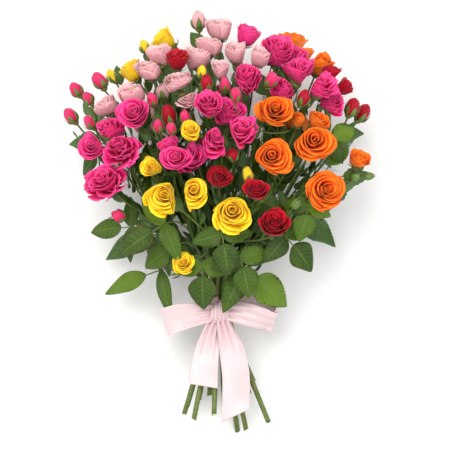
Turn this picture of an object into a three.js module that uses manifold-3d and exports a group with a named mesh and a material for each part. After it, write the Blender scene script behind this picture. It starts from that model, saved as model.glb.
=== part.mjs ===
// A hand-tied bouquet of spray roses, laid on its back on a flat surface.
//
// Eighteen spray-rose stems cross a binding, fan out below it to their cut ends and open above it into
// a domed head. Each stem forks into flower stalks with a rose or a bud on each, and carries compound
// leaves. A satin ribbon goes once round the binding and is tied in a bow on the upper side.
//
// Millimetres. The bouquet is laid out with X across, Y from the binding towards the flowers and Z from
// the binding up through the front of the head; it is then tipped until it lies on its rest points.
import * as THREE from 'three';
import Module from 'manifold-3d';

const wasm = await Module();
wasm.setup();

// ---------------------------------------------------------------------------------------------------
// Driving dimensions
// ---------------------------------------------------------------------------------------------------
const GAP = 0.3; // clearance between two pieces that touch
const HEAD = { x: -3, y: 115, rx: 165, ry: 185, depth: 122 }; // the dome that the front roses lie on
const CONE = 1.15; // how fast the head opens in depth above the binding, mm per mm
const HEAD_REST = { y: 195, z: -66 }; // where the head meets the surface, behind the stems
const FOOT_REST = { y: -128, z: -29 }; // where the lowest cut end meets it
const TIE = { y: -4, straight: 10 }; // the binding's middle, and how far the stems run straight either side
const STEM = { radius: 2.25, topRadius: 1.5, sides: 5, forkShare: 0.66 };
const STALK = { radius: 1.15, sides: 3, budSides: 4 };
const BUNDLE_RINGS = [[0, 1], [5.0, 6], [9.8, 12]]; // radius of each ring of stems in the binding, and count
const FAN = { x: 5.0, z: 3.2 }; // how far the cut ends spread, in times their place in the binding
const BINDING = { inner: 12.6, thickness: 1.2, width: 18, sides: 16 };
const RIBBON = { width: 27, thickness: 0.9, wrapRadius: 15.2 };
const BLOOM_SIZE = 1.12; // of the radii listed
const LEAF_SIZE = 1.12; // of the leaves' lengths and widths listed
const GOLDEN_ANGLE = 2.399963;

// ---------------------------------------------------------------------------------------------------
// The bouquet's flowers: [node or '' for a bud on its stem, form, x, y, set back from the dome, radius]
// and, where the rose doesn't face the way its place gives, the direction that it faces.
// ---------------------------------------------------------------------------------------------------
const SPRAYS = {
  stem_pink_1: [
    ['pink_rose_1', 'half', 27, 272, 28, 12, [0.35, 0.9, 0.25]],
    ['pink_rose_2', 'ruffle', 57, 253, 22, 17],
    ['pink_rose_2', 'ruffle', 76, 246, 34, 14],
    ['', 'bud', 45, 223, 6, 8.5],
  ],
  stem_pink_2: [
    ['pink_rose_3', 'ruffle', 65, 217, 16, 13],
    ['pink_rose_3', 'ruffle', 80, 230, 8, 16],
    ['pink_rose_3', 'ruffle', 98, 216, 2, 16],
    ['pink_rose_3', 'ruffle', 113, 202, 12, 13],
  ],
  stem_pink_3: [
    ['pink_rose_4', 'ruffle', 25, 227, 12, 16],
    ['pink_rose_5', 'ruffle', -12, 199, 0, 17],
    ['pink_rose_5', 'ruffle', 10, 190, 10, 14],
    ['', 'bud', 15, 208, -8, 7],
    ['', 'bud', 8, 221, 14, 7.5],
    ['', 'bud', -33, 186, 4, 7.5],
  ],
  stem_pink_4: [
    ['pink_rose_6', 'ruffle', 20, 174, 4, 16.5],
    ['pink_rose_6', 'ruffle', -8, 163, 0, 14.5],
    ['pink_rose_7', 'ruffle', 8, 205, 142, 16, [0.05, 0.75, -0.62]],
  ],
  stem_pink_5: [
    ['pink_rose_8', 'open', -40, 144, 0, 17],
    ['pink_rose_8', 'ruffle', -17, 141, 8, 14.5],
    ['pink_rose_8', 'half', -65, 157, 14, 11, [-0.2, 0.55, 0.75]],
    ['', 'bud', -47, 174, -8, 6.5],
  ],
  stem_pink_6: [
    ['pink_rose_9', 'open', -84, 188, 2, 18],
    ['', 'bud', -62, 178, 2, 7],
    ['', 'bud', -70, 202, 8, 7],
  ],
  stem_pink_7: [
    ['pink_rose_10', 'open', -127, 158, 4, 14],
    ['pink_rose_10', 'ruffle', -109, 177, 6, 15],
    ['pink_rose_10', 'ruffle', -97, 161, 0, 16.5],
    ['pink_rose_11', 'ruffle', -115, 123, 14, 16],
    ['', 'bud', -101, 89, 40, 7.5, [-0.5, 0.2, 0.5]],
    ['', 'bud', -130, 182, 10, 7],
  ],
  stem_blush_1: [
    ['blush_rose_1', 'cup', -86, 212, 10, 13.5],
    ['blush_rose_2', 'cup', -114, 199, 8, 12],
    ['', 'bud', -145, 216, -8, 7.5],
    ['', 'bud', -131, 206, -6, 7],
    ['', 'bud', -150, 189, 4, 8],
    ['', 'bud', -120, 223, -6, 9],
  ],
  stem_blush_2: [
    ['blush_rose_3', 'cup', -59, 251, 16, 12],
    ['blush_rose_3', 'cup', -72, 232, 8, 14],
    ['', 'bud', -57, 214, 34, 9],
    ['blush_rose_4', 'cup', -39, 221, 6, 13.5],
    ['blush_rose_4', 'ruffle', -31, 207, 10, 10],
    ['blush_rose_5', 'cup', -72, 192, 'rest', 15, [-0.35, 0.75, -0.45]],
  ],
  stem_blush_3: [
    ['blush_rose_6', 'cup', 0, 277, 32, 12.5, [0.05, 0.95, 0.3]],
    ['blush_rose_7', 'cup', -10, 261, 36, 11.5],
    ['blush_rose_7', 'cup', -24, 248, 24, 13],
    ['blush_rose_8', 'cup', 19, 252, 20, 12],
    ['blush_rose_8', 'cup', 38, 247, 18, 12],
    ['blush_rose_9', 'cup', 2, 235, 18, 10],
    ['', 'bud', -22, 286, 42, 9, [-0.1, 1, 0.1]],
  ],
  stem_yellow_1: [
    ['yellow_rose_1', 'half', -58, 267, 52, 13, [-0.75, 0.6, 0.1]],
    ['yellow_rose_2', 'half', -90, 236, 34, 12, [-0.55, 0.8, 0.1]],
    ['', 'bud', -76, 259, 36, 6.5, [-0.3, 0.9, 0.2]],
    ['', 'bud', -108, 229, 16, 6.5, [-0.5, 0.85, 0.1]],
    ['', 'bud', -17, 231, 22, 7],
  ],
  stem_yellow_2: [
    ['yellow_rose_3', 'open', -57, 110, 2, 19, [-0.12, 0.12, 1]],
    ['yellow_rose_3', 'open', -24, 118, 0, 17.5, [0.02, 0.1, 1]],
    ['yellow_rose_4', 'open', 11.5, 99, 2, 19.5, [0.08, 0.12, 1]],
    ['yellow_rose_5', 'open', -29, 170, -8, 12],
    ['yellow_rose_6', 'open', -65, 140, 8, 11.5],
    ['yellow_rose_7', 'open', -37, 42, -20, 10.5, [-0.15, 0.25, 1]],
    ['', 'bud', 28, 131, 14, 8],
  ],
  stem_orange_1: [
    ['orange_rose_1', 'half', 73, 265, 56, 14, [0.25, 0.9, 0.3]],
    ['orange_rose_1', 'half', 86, 252, 46, 11],
    ['orange_rose_1', 'half', 102, 243, 32, 13, [0.3, 0.75, 0.6]],
  ],
  stem_orange_2: [
    ['orange_rose_2', 'open', 55, 195, 2, 19, [0.06, 0.3, 1]],
    ['', 'bud', 84, 206, 6, 9],
    ['orange_rose_3', 'half', 79, 185, 16, 9],
    ['orange_rose_3', 'open', 99, 189, 22, 14],
    ['orange_rose_3', 'open', 93, 162, 0, 20.5, [0.12, 0.18, 1]],
    ['orange_rose_4', 'open', 76, 190, 'rest', 17, [0.35, 0.75, -0.5]],
  ],
  stem_orange_3: [
    ['orange_rose_5', 'open', 50, 148, 0, 20.5, [0.05, 0.12, 1]],
    ['orange_rose_6', 'open', 105, 115, 6, 18.5, [0.3, 0.05, 1]],
    ['orange_rose_7', 'half', 139, 143, 8, 11, [0.3, 0.75, 0.55]],
    ['', 'green_bud', 75, 101, 14, 6],
    ['', 'green_bud', 136, 130, 12, 5],
    ['', 'green_bud', 149, 129, 2, 5, [0.9, 0.1, 0.2]],
  ],
  stem_red_1: [
    ['red_rose_1', 'half', -44, 244, 6, 12.5, [-0.05, 0.9, 0.45]],
    ['', 'bud', -10, 218, 10, 9.5],
    ['', 'bud', -51, 188, 18, 10],
  ],
  stem_red_2: [
    ['red_rose_2', 'half', 112, 233, 10, 11, [0.25, 0.9, 0.2]],
    ['red_rose_2', 'half', 125, 221, 6, 10, [0.75, 0.65, 0.1]],
    ['', 'bud', 130, 198, 2, 9, [0.35, 0.85, 0.3]],
    ['', 'bud', 143, 192, 4, 9, [0.55, 0.8, 0.2]],
  ],
  stem_red_3: [
    ['red_rose_3', 'open', 2, 127, 14, 15],
    ['red_rose_4', 'half', 34.5, 114, -4, 12, [0, 0.55, 0.8]],
    ['red_rose_5', 'half', 54, 81, 4, 13.5, [0.1, 0.45, 0.85]],
    ['', 'bud', 10, 148, 12, 8.5],
    ['red_rose_6', 'half', -18, 160, 150, 13, [-0.1, 0.7, -0.65]],
  ],
};

// How much of the way from its ray out of the binding to straight out of the front each form faces.
const FORWARD = { open: 0.55, ruffle: 0.4, cup: 0.2, half: 0.2, bud: 0.05, green_bud: 0.05 };
// How a spray's stem ends at its cut: the length below the binding.
const CUT_LENGTHS = [98, 128, 84, 112, 90, 104, 113, 99, 94, 131, 108, 117, 82, 92, 120, 88, 80, 102];

// Compound leaves: [stem, share of the stem where it leaves, joint of the leaflets, tip, width, leaflets].
const LEAVES = [
  ['stem_pink_7', 0.30, [-60, 33, 22], [-114, 9, 12], 18, 3],
  ['stem_pink_7', 0.62, [-88, 78, 52], [-128, 76, 44], 19, 3],
  ['stem_pink_6', 0.50, [-56, 84, 66], [-98, 60, 70], 24, 3],
  ['stem_yellow_2', 0.30, [-18, 40, 52], [-18, -2, 46], 26, 3],
  ['stem_yellow_2', 0.45, [-44, 60, 54], [-74, 42, 52], 24, 3],
  ['stem_orange_3', 0.25, [23, 26, 40], [61, -7, 36], 30, 2],
  ['stem_red_3', 0.38, [20, 48, 66], [30, 12, 66], 24, 3],
  ['stem_red_3', 0.55, [66, 68, 60], [92, 39, 58], 26, 3],
  ['stem_orange_3', 0.60, [88, 74, 62], [124, 84, 54], 23, 2],
  ['stem_pink_4', 0.50, [2, 76, 88], [8, 40, 92], 25, 3],
  ['stem_red_2', 0.80, [108, 163, 58], [133, 178, 50], 20, 2],
  ['stem_orange_3', 0.85, [116, 136, 58], [138, 160, 44], 16, 1],
  ['stem_orange_3', 0.70, [128, 119, 44], [152, 117, 38], 11, 2],
  ['stem_pink_7', 0.85, [-124, 150, 40], [-140, 133, 34], 14, 1],
  ['stem_pink_6', 0.80, [-76, 134, 64], [-100, 116, 64], 22, 3],
  ['stem_pink_2', 0.60, [76, 126, 66], [77, 98, 80], 22, 3],
  ['stem_red_3', 0.80, [42, 100, 76], [62, 86, 86], 22, 1],
  ['stem_blush_3', 0.90, [-17, 256, 20], [-28, 276, 14], 14, 1],
  ['stem_yellow_1', 0.90, [-100, 222, 6], [-106, 242, 0], 10, 1],
  ['stem_blush_1', 0.45, [-62, 72, -6], [-108, 58, -22], 24, 3],
  ['stem_blush_2', 0.55, [-44, 104, -24], [-72, 66, -32], 26, 3],
  ['stem_pink_4', 0.80, [-12, 116, -32], [-20, 70, -40], 26, 3],
  ['stem_orange_2', 0.60, [48, 108, -24], [44, 62, -34], 26, 3],
  ['stem_red_2', 0.50, [72, 92, -10], [112, 70, -24], 25, 3],
  ['stem_orange_1', 0.80, [104, 168, -14], [136, 176, -30], 22, 3],
  ['stem_yellow_1', 0.75, [-112, 162, -12], [-144, 166, -28], 22, 3],
  ['stem_pink_1', 0.85, [50, 214, -30], [74, 244, -36], 22, 3],
  ['stem_red_1', 0.80, [-42, 214, -30], [-60, 244, -35], 22, 3],
];

// Each form's layers of petals from the stalk up, in radii of the flower: [radius, height, petal depth
// in radius, petal depth in height, turned by half a petal]. Rims and the hollows behind them alternate.
const PROFILES = {
  open: { seat: -0.72, crown: 0.48, outer: 2, petals: 5, rings: [
    [0.66, -0.42, 0.05, 0.00, 0], [0.99, 0.06, 0.10, 0.06, 0], [0.74, 0.06, 0.05, 0.00, 0],
    [0.66, 0.40, 0.12, 0.08, 1], [0.36, 0.24, 0.05, 0.00, 1]] },
  ruffle: { seat: -0.80, crown: 0.70, outer: 2, petals: 5, rings: [
    [0.70, -0.48, 0.06, 0.00, 0], [0.98, 0.10, 0.10, 0.12, 0], [0.76, 0.20, 0.06, 0.00, 0],
    [0.66, 0.60, 0.14, 0.12, 1], [0.34, 0.48, 0.06, 0.00, 1]] },
  cup: { seat: -0.88, crown: 0.50, outer: 3, petals: 4, rings: [
    [0.70, -0.50, 0.03, 0.00, 0], [0.97, 0.05, 0.05, 0.00, 0], [0.72, 0.62, 0.10, 0.10, 0],
    [0.40, 0.40, 0.04, 0.00, 0]] },
  half: { seat: -0.95, crown: 0.44, outer: 3, petals: 4, rings: [
    [0.46, -0.62, 0.03, 0.00, 0], [0.80, -0.04, 0.05, 0.00, 0], [0.86, 0.46, 0.14, 0.12, 0],
    [0.46, 0.26, 0.06, 0.00, 0]] },
  bud: { seat: -0.80, crown: 1.12 },
  green_bud: { seat: -0.80, crown: 1.2 },
};
const SMALL = 14.6; // roses smaller than this have one layer of petals fewer

// Flowers settle until the distance between two is this share of their radii together.
const SETTLE = { rounds: 160, touching: 0.70, apart: 0.95, sideways: 0.35 };

// A compound leaf's blade. Its teeth are places along a leaflet and half its width there.
const BLADE = {
  half: 0.5, stalk: 1.2, sag: 0.22, // half its thickness, half its stalk's width, and how much it droops
  teeth: [[0.13, 0.28], [0.40, 0.50], [0.50, 0.41], [0.70, 0.37]], // along a leaflet, and half its width
  turn: 1.45, side: 0.75, // the side leaflets' turn away from the rib, and their size to the whole's
  step: 0.25, // from the side leaflets' roots to the end one's, to the whole's length
  cuts: [0.92, 0.55, 0], // where its stalk is cut across, from its stem to the blade
};

// The bow, each strip from the knot outwards.
const KNOT = { at: [0, -8, 19], half: [12, 11, 5] };
const BOW = {
  leftLoop: [
    [[2, -8, 21], [0, 1, 0], 0.5], [[-18, -9, 24], [0.15, 1, 0], 0.8], [[-40, -13, 27], [-0.3, 1, 0], 1],
    [[-53, -17, 25], [-0.32, 1, 0], 1.04], [[-57, -18, 21], [-0.32, 1, 0], 1.04],
    [[-53, -17, 17.5], [-0.32, 1, 0], 1], [[-38, -13, 16.5], [-0.3, 1, 0], 0.95],
    [[-16, -9, 17], [0, 1, 0], 0.7],
    [[2, -8, 18], [0, 1, 0], 0.5]],
  rightLoop: [
    [[-2, -8, 21], [0, 1, 0], 0.5], [[16, -8, 25], [0, 1, 0], 0.8], [[36, -13, 28], [0.05, 1, 0.3], 0.9],
    [[50, -17, 26], [0.1, 0.75, 0.6], 0.9], [[54, -17, 21], [0.1, 0.75, 0.6], 0.9],
    [[48, -11, 17], [0.3, 0.9, 0.2], 1], [[32, 0, 15.5], [0.45, 0.9, 0], 1],
    [[14, 1, 16], [0.3, 1, 0], 0.85],
    [[-2, -8, 18], [0, 1, 0], 0.5]],
  leftTail: [
    [[0, -6, 20], [1, 0, 0], 0.4], [[-7, -24, 20], [1, -0.2, 0.1], 0.6],
    [[-13, -46, 21], [1, -0.15, 0.1], 0.9],
    [[-16, -66, 24], [1, 0, 0], 1.04], [[-16.5, -82.5, 26], [1, -0.17, 0], 1.04]],
  rightTail: [
    [[0, -6, 21], [1, 0, 0], 0.4], [[5, -24, 23], [1, 0.1, -0.1], 0.62],
    [[12, -46, 24], [1, 0.2, -0.05], 0.95],
    [[16, -72, 26], [1, 0.1, 0], 1.02], [[16, -96, 28], [1, 0.3, 0], 1.02],
    [[16, -112, 30], [1, 0.5, 0], 1.02]],
};

const COLOURS = {
  pink: 0xe01883, blush: 0xe9b9c2, yellow: 0xffc80f, orange: 0xff7412, red: 0xb4072a,
  green: 0x3f6b22, binding: 0xb9a26a, ribbon: 0xf3d3d6,
};

// ---------------------------------------------------------------------------------------------------
// Laying the bouquet down
// ---------------------------------------------------------------------------------------------------
const TIP = Math.atan2(FOOT_REST.z - HEAD_REST.z, HEAD_REST.y - FOOT_REST.y);
const FLOOR = HEAD_REST.y * Math.sin(TIP) + HEAD_REST.z * Math.cos(TIP);
const AXIS_X = new THREE.Vector3(1, 0, 0);
const lay = (x, y, z) => new THREE.Vector3(x, y, z).applyAxisAngle(AXIS_X, TIP);
const FRONT = lay(0, 0, 1);

// ---------------------------------------------------------------------------------------------------
// Solids from rings of points
// ---------------------------------------------------------------------------------------------------

function solidOf(points, faces) {
  const vertProperties = new Float32Array(points.flatMap((p) => [p.x, p.y, p.z]));
  return new wasm.Manifold(new wasm.Mesh({ numProp: 3, vertProperties, triVerts: new Uint32Array(faces) }));
}

// A closed solid through rings of points, each ring anticlockwise as seen from the last one. A ring of
// one point closes an end. Neighbouring quads split opposite ways, so both faces of a blade split alike.
function ringSolid(rings) {
  const points = rings.flat();
  const start = rings.map((_, i) => rings.slice(0, i).reduce((sum, r) => sum + r.length, 0));
  const faces = [];
  for (let k = 0; k + 1 < rings.length; k++) {
    const [low, high] = [rings[k].length, rings[k + 1].length];
    const n = Math.max(low, high);
    for (let j = 0; j < n; j++) {
      const next = (j + 1) % n;
      const a = start[k] + (low > 1 ? j : 0);
      const b = start[k] + (low > 1 ? next : 0);
      const c = start[k + 1] + (high > 1 ? next : 0);
      const d = start[k + 1] + (high > 1 ? j : 0);
      if (low === 1) faces.push(a, c, d);
      else if (high === 1) faces.push(a, b, c);
      else if (j % 2) faces.push(a, b, d, b, c, d);
      else faces.push(a, b, c, a, c, d);
    }
  }
  return solidOf(points, faces);
}

const join = (solids) => solids.reduce((whole, s) => whole.add(s));
const sample = (curve, from, to, steps) =>
  Array.from({ length: steps + 1 }, (_, i) => curve.getPoint(THREE.MathUtils.lerp(from, to, i / steps)));

// The part of a direction that is square to a path's direction, one long.
const squareTo = (along, wanted) => wanted.clone().addScaledVector(along, -wanted.dot(along)).normalize();

// Rings of points round a path, turned as little as can be from a wanted direction at the last of them.
function ringsAlong(path, radii, sides, wanted) {
  const rings = [];
  let across = wanted;
  for (let i = path.length - 1; i >= 0; i--) {
    const along = path[Math.min(i + 1, path.length - 1)].clone().sub(path[Math.max(i - 1, 0)]).normalize();
    across = squareTo(along, across);
    const other = new THREE.Vector3().crossVectors(along, across);
    rings.unshift(Array.from({ length: sides }, (_, j) => {
      const angle = (2 * Math.PI * j) / sides;
      return path[i].clone().addScaledVector(across, radii[i] * Math.cos(angle))
        .addScaledVector(other, radii[i] * Math.sin(angle));
    }));
  }
  return rings;
}

function rod(path, radii, sides) {
  const rings = ringsAlong(path, radii, sides, FRONT.clone().addScaledVector(AXIS_X, 0.37));
  return ringSolid([[path[0]], ...rings, [path[path.length - 1]]]);
}

// ---------------------------------------------------------------------------------------------------
// Flowers
// ---------------------------------------------------------------------------------------------------

const flowers = [];
Object.entries(SPRAYS).forEach(([stem, list]) => list.forEach(([node, form, x, y, back, radius, face]) => {
  const rests = back === 'rest';
  const reach = 1 - ((x - HEAD.x) / HEAD.rx) ** 2 - ((y - HEAD.y) / HEAD.ry) ** 2;
  const z = Math.min(HEAD.depth * Math.sqrt(Math.max(reach, 0)), CONE * y) - back;
  const at = lay(x, y, rests ? 0 : z);
  if (rests) at.z = FLOOR + 0.86 * radius;
  const ray = at.clone().normalize();
  const facing = face ? lay(...face).normalize() : ray.lerp(FRONT, FORWARD[form]).normalize();
  const across = squareTo(facing, AXIS_X).applyAxisAngle(facing, flowers.length * GOLDEN_ANGLE);
  const other = new THREE.Vector3().crossVectors(facing, across);
  flowers.push({
    stem, node, form, at, radius: BLOOM_SIZE * radius, facing, across, other, rests, planes: [],
  });
}));

// Flowers settle apart until no two are closer than their petals allow; those of one node stay touching.
for (let round = 0; round < SETTLE.rounds; round++) {
  flowers.forEach((a, i) => flowers.slice(i + 1).forEach((b, j) => {
    const linked = a.node && a.node === b.node;
    const reach = (a.radius + b.radius) * (linked ? SETTLE.touching : SETTLE.apart);
    const way = b.at.clone().sub(a.at);
    const short = reach - way.length();
    if (short < 0 && !(linked && j === 0)) return;
    way.normalize().multiplyScalar(short / 2);
    way.x *= SETTLE.sideways;
    way.y *= SETTLE.sideways;
    if (!a.rests) a.at.sub(way);
    if (!b.rests) b.at.add(way);
  }));
}

// Where two flowers of different nodes still crowd each other, each keeps to its side of a plane.
flowers.forEach((a, i) => flowers.slice(i + 1).forEach((b) => {
  const way = b.at.clone().sub(a.at);
  const distance = way.length();
  if ((a.node && a.node === b.node) || distance > (a.radius + b.radius) * 1.25) return;
  way.normalize();
  const share = distance * (a.radius / (a.radius + b.radius));
  a.planes.push([way.clone(), share - GAP / 2]);
  b.planes.push([way.clone().negate(), distance - share - GAP / 2]);
}));

// Moves a flower's point back inside its planes by squeezing the side of the flower that faces each one.
function squeezed(flower, point) {
  const reach = flower.radius;
  for (let pass = 0; pass < 4; pass++) {
    for (const [way, limit] of flower.planes) {
      const d = point.clone().sub(flower.at).dot(way);
      const soft = 0.45 * limit;
      const pull = ((d - soft) * (limit - reach)) / (reach - soft);
      if (d > soft && reach > limit) point.addScaledVector(way, pull);
      const over = point.clone().sub(flower.at).dot(way) - limit;
      if (over > 0) point.addScaledVector(way, -over);
    }
  }
  return point;
}

// A point of a flower, and a ring of them, in radii of the flower round its own axis.
const flowerPoint = (flower, radius, angle, height) => squeezed(flower, flower.at.clone()
  .addScaledVector(flower.across, flower.radius * radius * Math.cos(angle))
  .addScaledVector(flower.other, flower.radius * radius * Math.sin(angle))
  .addScaledVector(flower.facing, flower.radius * height));
const flowerRing = (flower, radius, height, sides) => Array.from({ length: sides }, (_, j) =>
  flowerPoint(flower, radius, (2 * Math.PI * j) / sides, height));

// A ring of petal tips and the dips between them.
function petalRing(flower, [radius, height, inward, down, turned]) {
  const { petals } = PROFILES[flower.form];
  return Array.from({ length: 2 * petals }, (_, j) => {
    const tip = (j + turned) % 2 ? -0.5 : 0.5;
    return flowerPoint(flower, radius + tip * inward, (Math.PI * j) / petals, height + tip * down);
  });
}

function flowerSolid(flower) {
  const { seat, crown, rings, petals } = PROFILES[flower.form];
  const layers = petals === 5 && flower.radius < SMALL ? rings.slice(0, 4) : rings;
  return ringSolid([
    [flowerPoint(flower, 0, 0, seat)],
    ...layers.map((ring) => petalRing(flower, ring)),
    [flowerPoint(flower, 0, 0, crown)],
  ]);
}

// The flower's outer form with no hollows, a gap larger all round: what leaves and stalks keep out of.
function flowerRoom(flower) {
  const { seat, rings, outer } = PROFILES[flower.form];
  const more = GAP / flower.radius;
  const top = Math.max(...rings.map(([, height, , down]) => height + down / 2)) + 2 * more;
  return ringSolid([
    [flowerPoint(flower, 0, 0, seat - more)],
    ...rings.slice(0, outer).map(([radius, ...rest]) => petalRing(flower, [radius + more, ...rest])),
    [flowerPoint(flower, 0, 0, top)],
  ]);
}

// ---------------------------------------------------------------------------------------------------
// Stems, stalks and leaves
// ---------------------------------------------------------------------------------------------------
const sprays = Object.keys(SPRAYS).map((name, i) => {
  const own = flowers.filter((f) => f.stem === name);
  const front = own.filter((f) => f.at.dot(FRONT) > 0);
  const middle = new THREE.Vector3();
  front.forEach((f) => middle.addScaledVector(f.at, 1 / front.length));
  return { name, own, fork: middle.multiplyScalar(STEM.forkShare), cut: CUT_LENGTHS[i] };
});

// Each stem's place in the binding: places are swapped while that brings them nearer to their forks' side.
const places = BUNDLE_RINGS.flatMap(([radius, count]) => Array.from({ length: count }, (_, k) => {
  const angle = (2 * Math.PI * (k + 0.5)) / count;
  return [radius * Math.cos(angle), radius * Math.sin(angle)];
}));
const wanted = sprays.map(({ fork }) => [(fork.x / fork.y) * 14, ((fork.dot(FRONT) - 30) / fork.y) * 14]);
const placeOf = places.map((_, i) => i);
const cost = (spray, place) => (spray < sprays.length
  ? (wanted[spray][0] - places[place][0]) ** 2 + (wanted[spray][1] - places[place][1]) ** 2 : 0);
for (let round = 0; round < 40; round++) {
  for (let i = 0; i < places.length; i++) {
    for (let j = i + 1; j < places.length; j++) {
      const now = cost(i, placeOf[i]) + cost(j, placeOf[j]);
      const swapped = cost(i, placeOf[j]) + cost(j, placeOf[i]);
      if (swapped < now - 1e-6) [placeOf[i], placeOf[j]] = [placeOf[j], placeOf[i]];
    }
  }
}

sprays.forEach((spray, i) => {
  const [x, z] = places[placeOf[i]];
  const reach = spray.cut / 128;
  const [below, above] = [TIE.y - TIE.straight, TIE.y + TIE.straight];
  const footDepth = Math.max(z * reach * FAN.z, FOOT_REST.z + STEM.radius - 1);
  const foot = lay(x * reach * FAN.x + 5, -spray.cut, footDepth);
  spray.lower = new THREE.QuadraticBezierCurve3(foot, lay(x * 1.3, below - 16, z * 1.2), lay(x, below, z));
  spray.upper = new THREE.CubicBezierCurve3(lay(x, above, z), lay(x * 1.3, above + 20, z * 1.3),
    spray.fork.clone().multiplyScalar(0.55), spray.fork);
});

function stemRod(spray, grow = 0) {
  const path = [...sample(spray.lower, 0, 1, 2), ...sample(spray.upper, 0, 1, 4)];
  const { radius, topRadius } = STEM;
  const radii = path.map((_, i) => grow + THREE.MathUtils.lerp(radius, topRadius, Math.max(i - 3, 0) / 4));
  return rod(path, radii, STEM.sides);
}

// A flower's stalk leaves its stem near the fork and widens into the cup of sepals that holds the flower;
// a bud goes on from there to its point.
function stalkSolid(spray, flower, [leave, bend, turn], grow = 0) {
  const { seat } = PROFILES[flower.form];
  const { facing, radius } = flower;
  const more = grow / radius;
  const neck = flower.at.clone().addScaledVector(facing, radius * (seat - 0.36));
  const from = spray.upper.getPoint(leave);
  const span = from.distanceTo(neck);
  const knee = neck.clone().addScaledVector(facing, -bend * span);
  if (turn[0]) {
    knee.addScaledVector(flower.across, turn[0] * span);
    knee.addScaledVector(flower.other, turn[1] * span);
  }
  const curve = new THREE.QuadraticBezierCurve3(from, knee, neck);
  const path = sample(curve, 0, 1, 2);
  const sides = flower.node ? STALK.sides : STALK.budSides;
  const rings = ringsAlong(path, path.map(() => STALK.radius + grow), sides, flower.across);
  const sepals = [[0.24, seat - 0.22], [0.56, seat + 0.05]];
  const closed = [[0.38, seat], [0.86, seat + 0.58], [0.58, 0.62]];
  const cup = (flower.node ? sepals : closed)
    .map(([wide, height]) => flowerRing(flower, wide + more, height, sides));
  const tip = flower.node ? seat - GAP / radius : PROFILES[flower.form].crown + more;
  return ringSolid([[from], ...rings, ...cup, [flowerPoint(flower, 0, 0, tip)]]);
}

// A compound leaf is one thin blade, cut round into toothed leaflets on a narrow stalk and arched.
// The outline of one leaflet out along one edge and back along the other, as places across and along.
function leafletOutline(turn, length, width, start = 0) {
  const out = [Math.sin(turn), Math.cos(turn)];
  const place = (a, b) => [out[0] * a + out[1] * b, start + out[1] * a - out[0] * b];
  const edge = (way) => BLADE.teeth.map(([along, half]) => place(along * length, way * half * width));
  return [...edge(1), place(length, 0), ...edge(-1).reverse()];
}

function leafOutline(length, width, count) {
  const shorter = [length * BLADE.side, width * BLADE.side];
  const { stalk } = BLADE;
  const step = count > 1 ? BLADE.step * length : 0;
  return [
    ...(count > 1 ? [...leafletOutline(BLADE.turn, ...shorter), [stalk, step]] : []),
    ...leafletOutline(0, length - step, width, step),
    ...(count > 1 ? [[-stalk, step]] : []),
    ...(count > 2 ? leafletOutline(-BLADE.turn, ...shorter) : []),
  ];
}

function compoundLeaf(spray, [, share, joint, tip, breadth, count], [swing, lift], grow = 0) {
  const width = LEAF_SIZE * breadth;
  const from = spray.upper.getPoint(share);
  const moved = (p) => lay(...p).sub(from)
    .applyAxisAngle(FRONT, swing).applyAxisAngle(AXIS_X, lift).add(from);
  const meet = moved(joint);
  const end = moved(tip);
  const along = end.clone().sub(meet).normalize();
  const length = LEAF_SIZE * end.distanceTo(meet);
  const outside = FRONT.clone().multiplyScalar(joint[2] < 0 ? -1 : 1);
  const upward = outside.addScaledVector(meet.clone().normalize(), 0.5);
  const up = squareTo(along, upward);
  const side = new THREE.Vector3().crossVectors(along, up);
  const knee = meet.clone().addScaledVector(along, -0.4 * from.distanceTo(meet));
  const stalk = new THREE.QuadraticBezierCurve3(from, knee, meet);
  const half = BLADE.stalk + grow;
  const thick = BLADE.half + grow;
  const wider = 1 + (4 * grow) / width;
  const outline = leafOutline(length, width, count);
  const upper = [];
  const under = [];
  const put = (place, normal) => {
    upper.push(place.clone().addScaledVector(normal, thick));
    under.push(place.clone().addScaledVector(normal, -thick));
  };
  let across = side;
  const cuts = BLADE.cuts.map((t) => {
    const way = stalk.getTangent(t);
    across = squareTo(way, across);
    return { place: stalk.getPoint(t), across, normal: new THREE.Vector3().crossVectors(across, way) };
  });
  [...cuts].reverse()
    .forEach((cut) => put(cut.place.clone().addScaledVector(cut.across, half), cut.normal));
  outline.forEach(([x, y]) => {
    const droop = (-BLADE.sag * (x * x + y * y)) / length;
    const flatPlace = meet.clone().addScaledVector(along, y * wider).addScaledVector(side, x * wider);
    put(flatPlace.addScaledVector(up, droop), up);
  });
  cuts.forEach((cut) => put(cut.place.clone().addScaledVector(cut.across, -half), cut.normal));
  const n = upper.length;
  const last = BLADE.cuts.length - 1;
  const flat = [[half, -3], ...outline, [-half, -3]].map(([x, y]) => new THREE.Vector2(x, y));
  const blade = THREE.ShapeUtils.triangulateShape(flat, []).map((face) => face.map((i) => i + last));
  const strips = Array.from({ length: last }, (_, i) => [[i, i + 1, n - 2 - i], [i, n - 2 - i, n - 1 - i]]);
  const skin = [...blade, ...strips.flat()].flatMap(([a, b, c]) => [a, b, c, a + n, c + n, b + n]);
  const rim = upper.flatMap((_, i) => {
    const next = (i + 1) % n;
    return [i, i + n, next + n, i, next + n, next];
  });
  const points = [...upper, ...under];
  return solidOf(points, [...skin, ...rim]);
}

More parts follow.
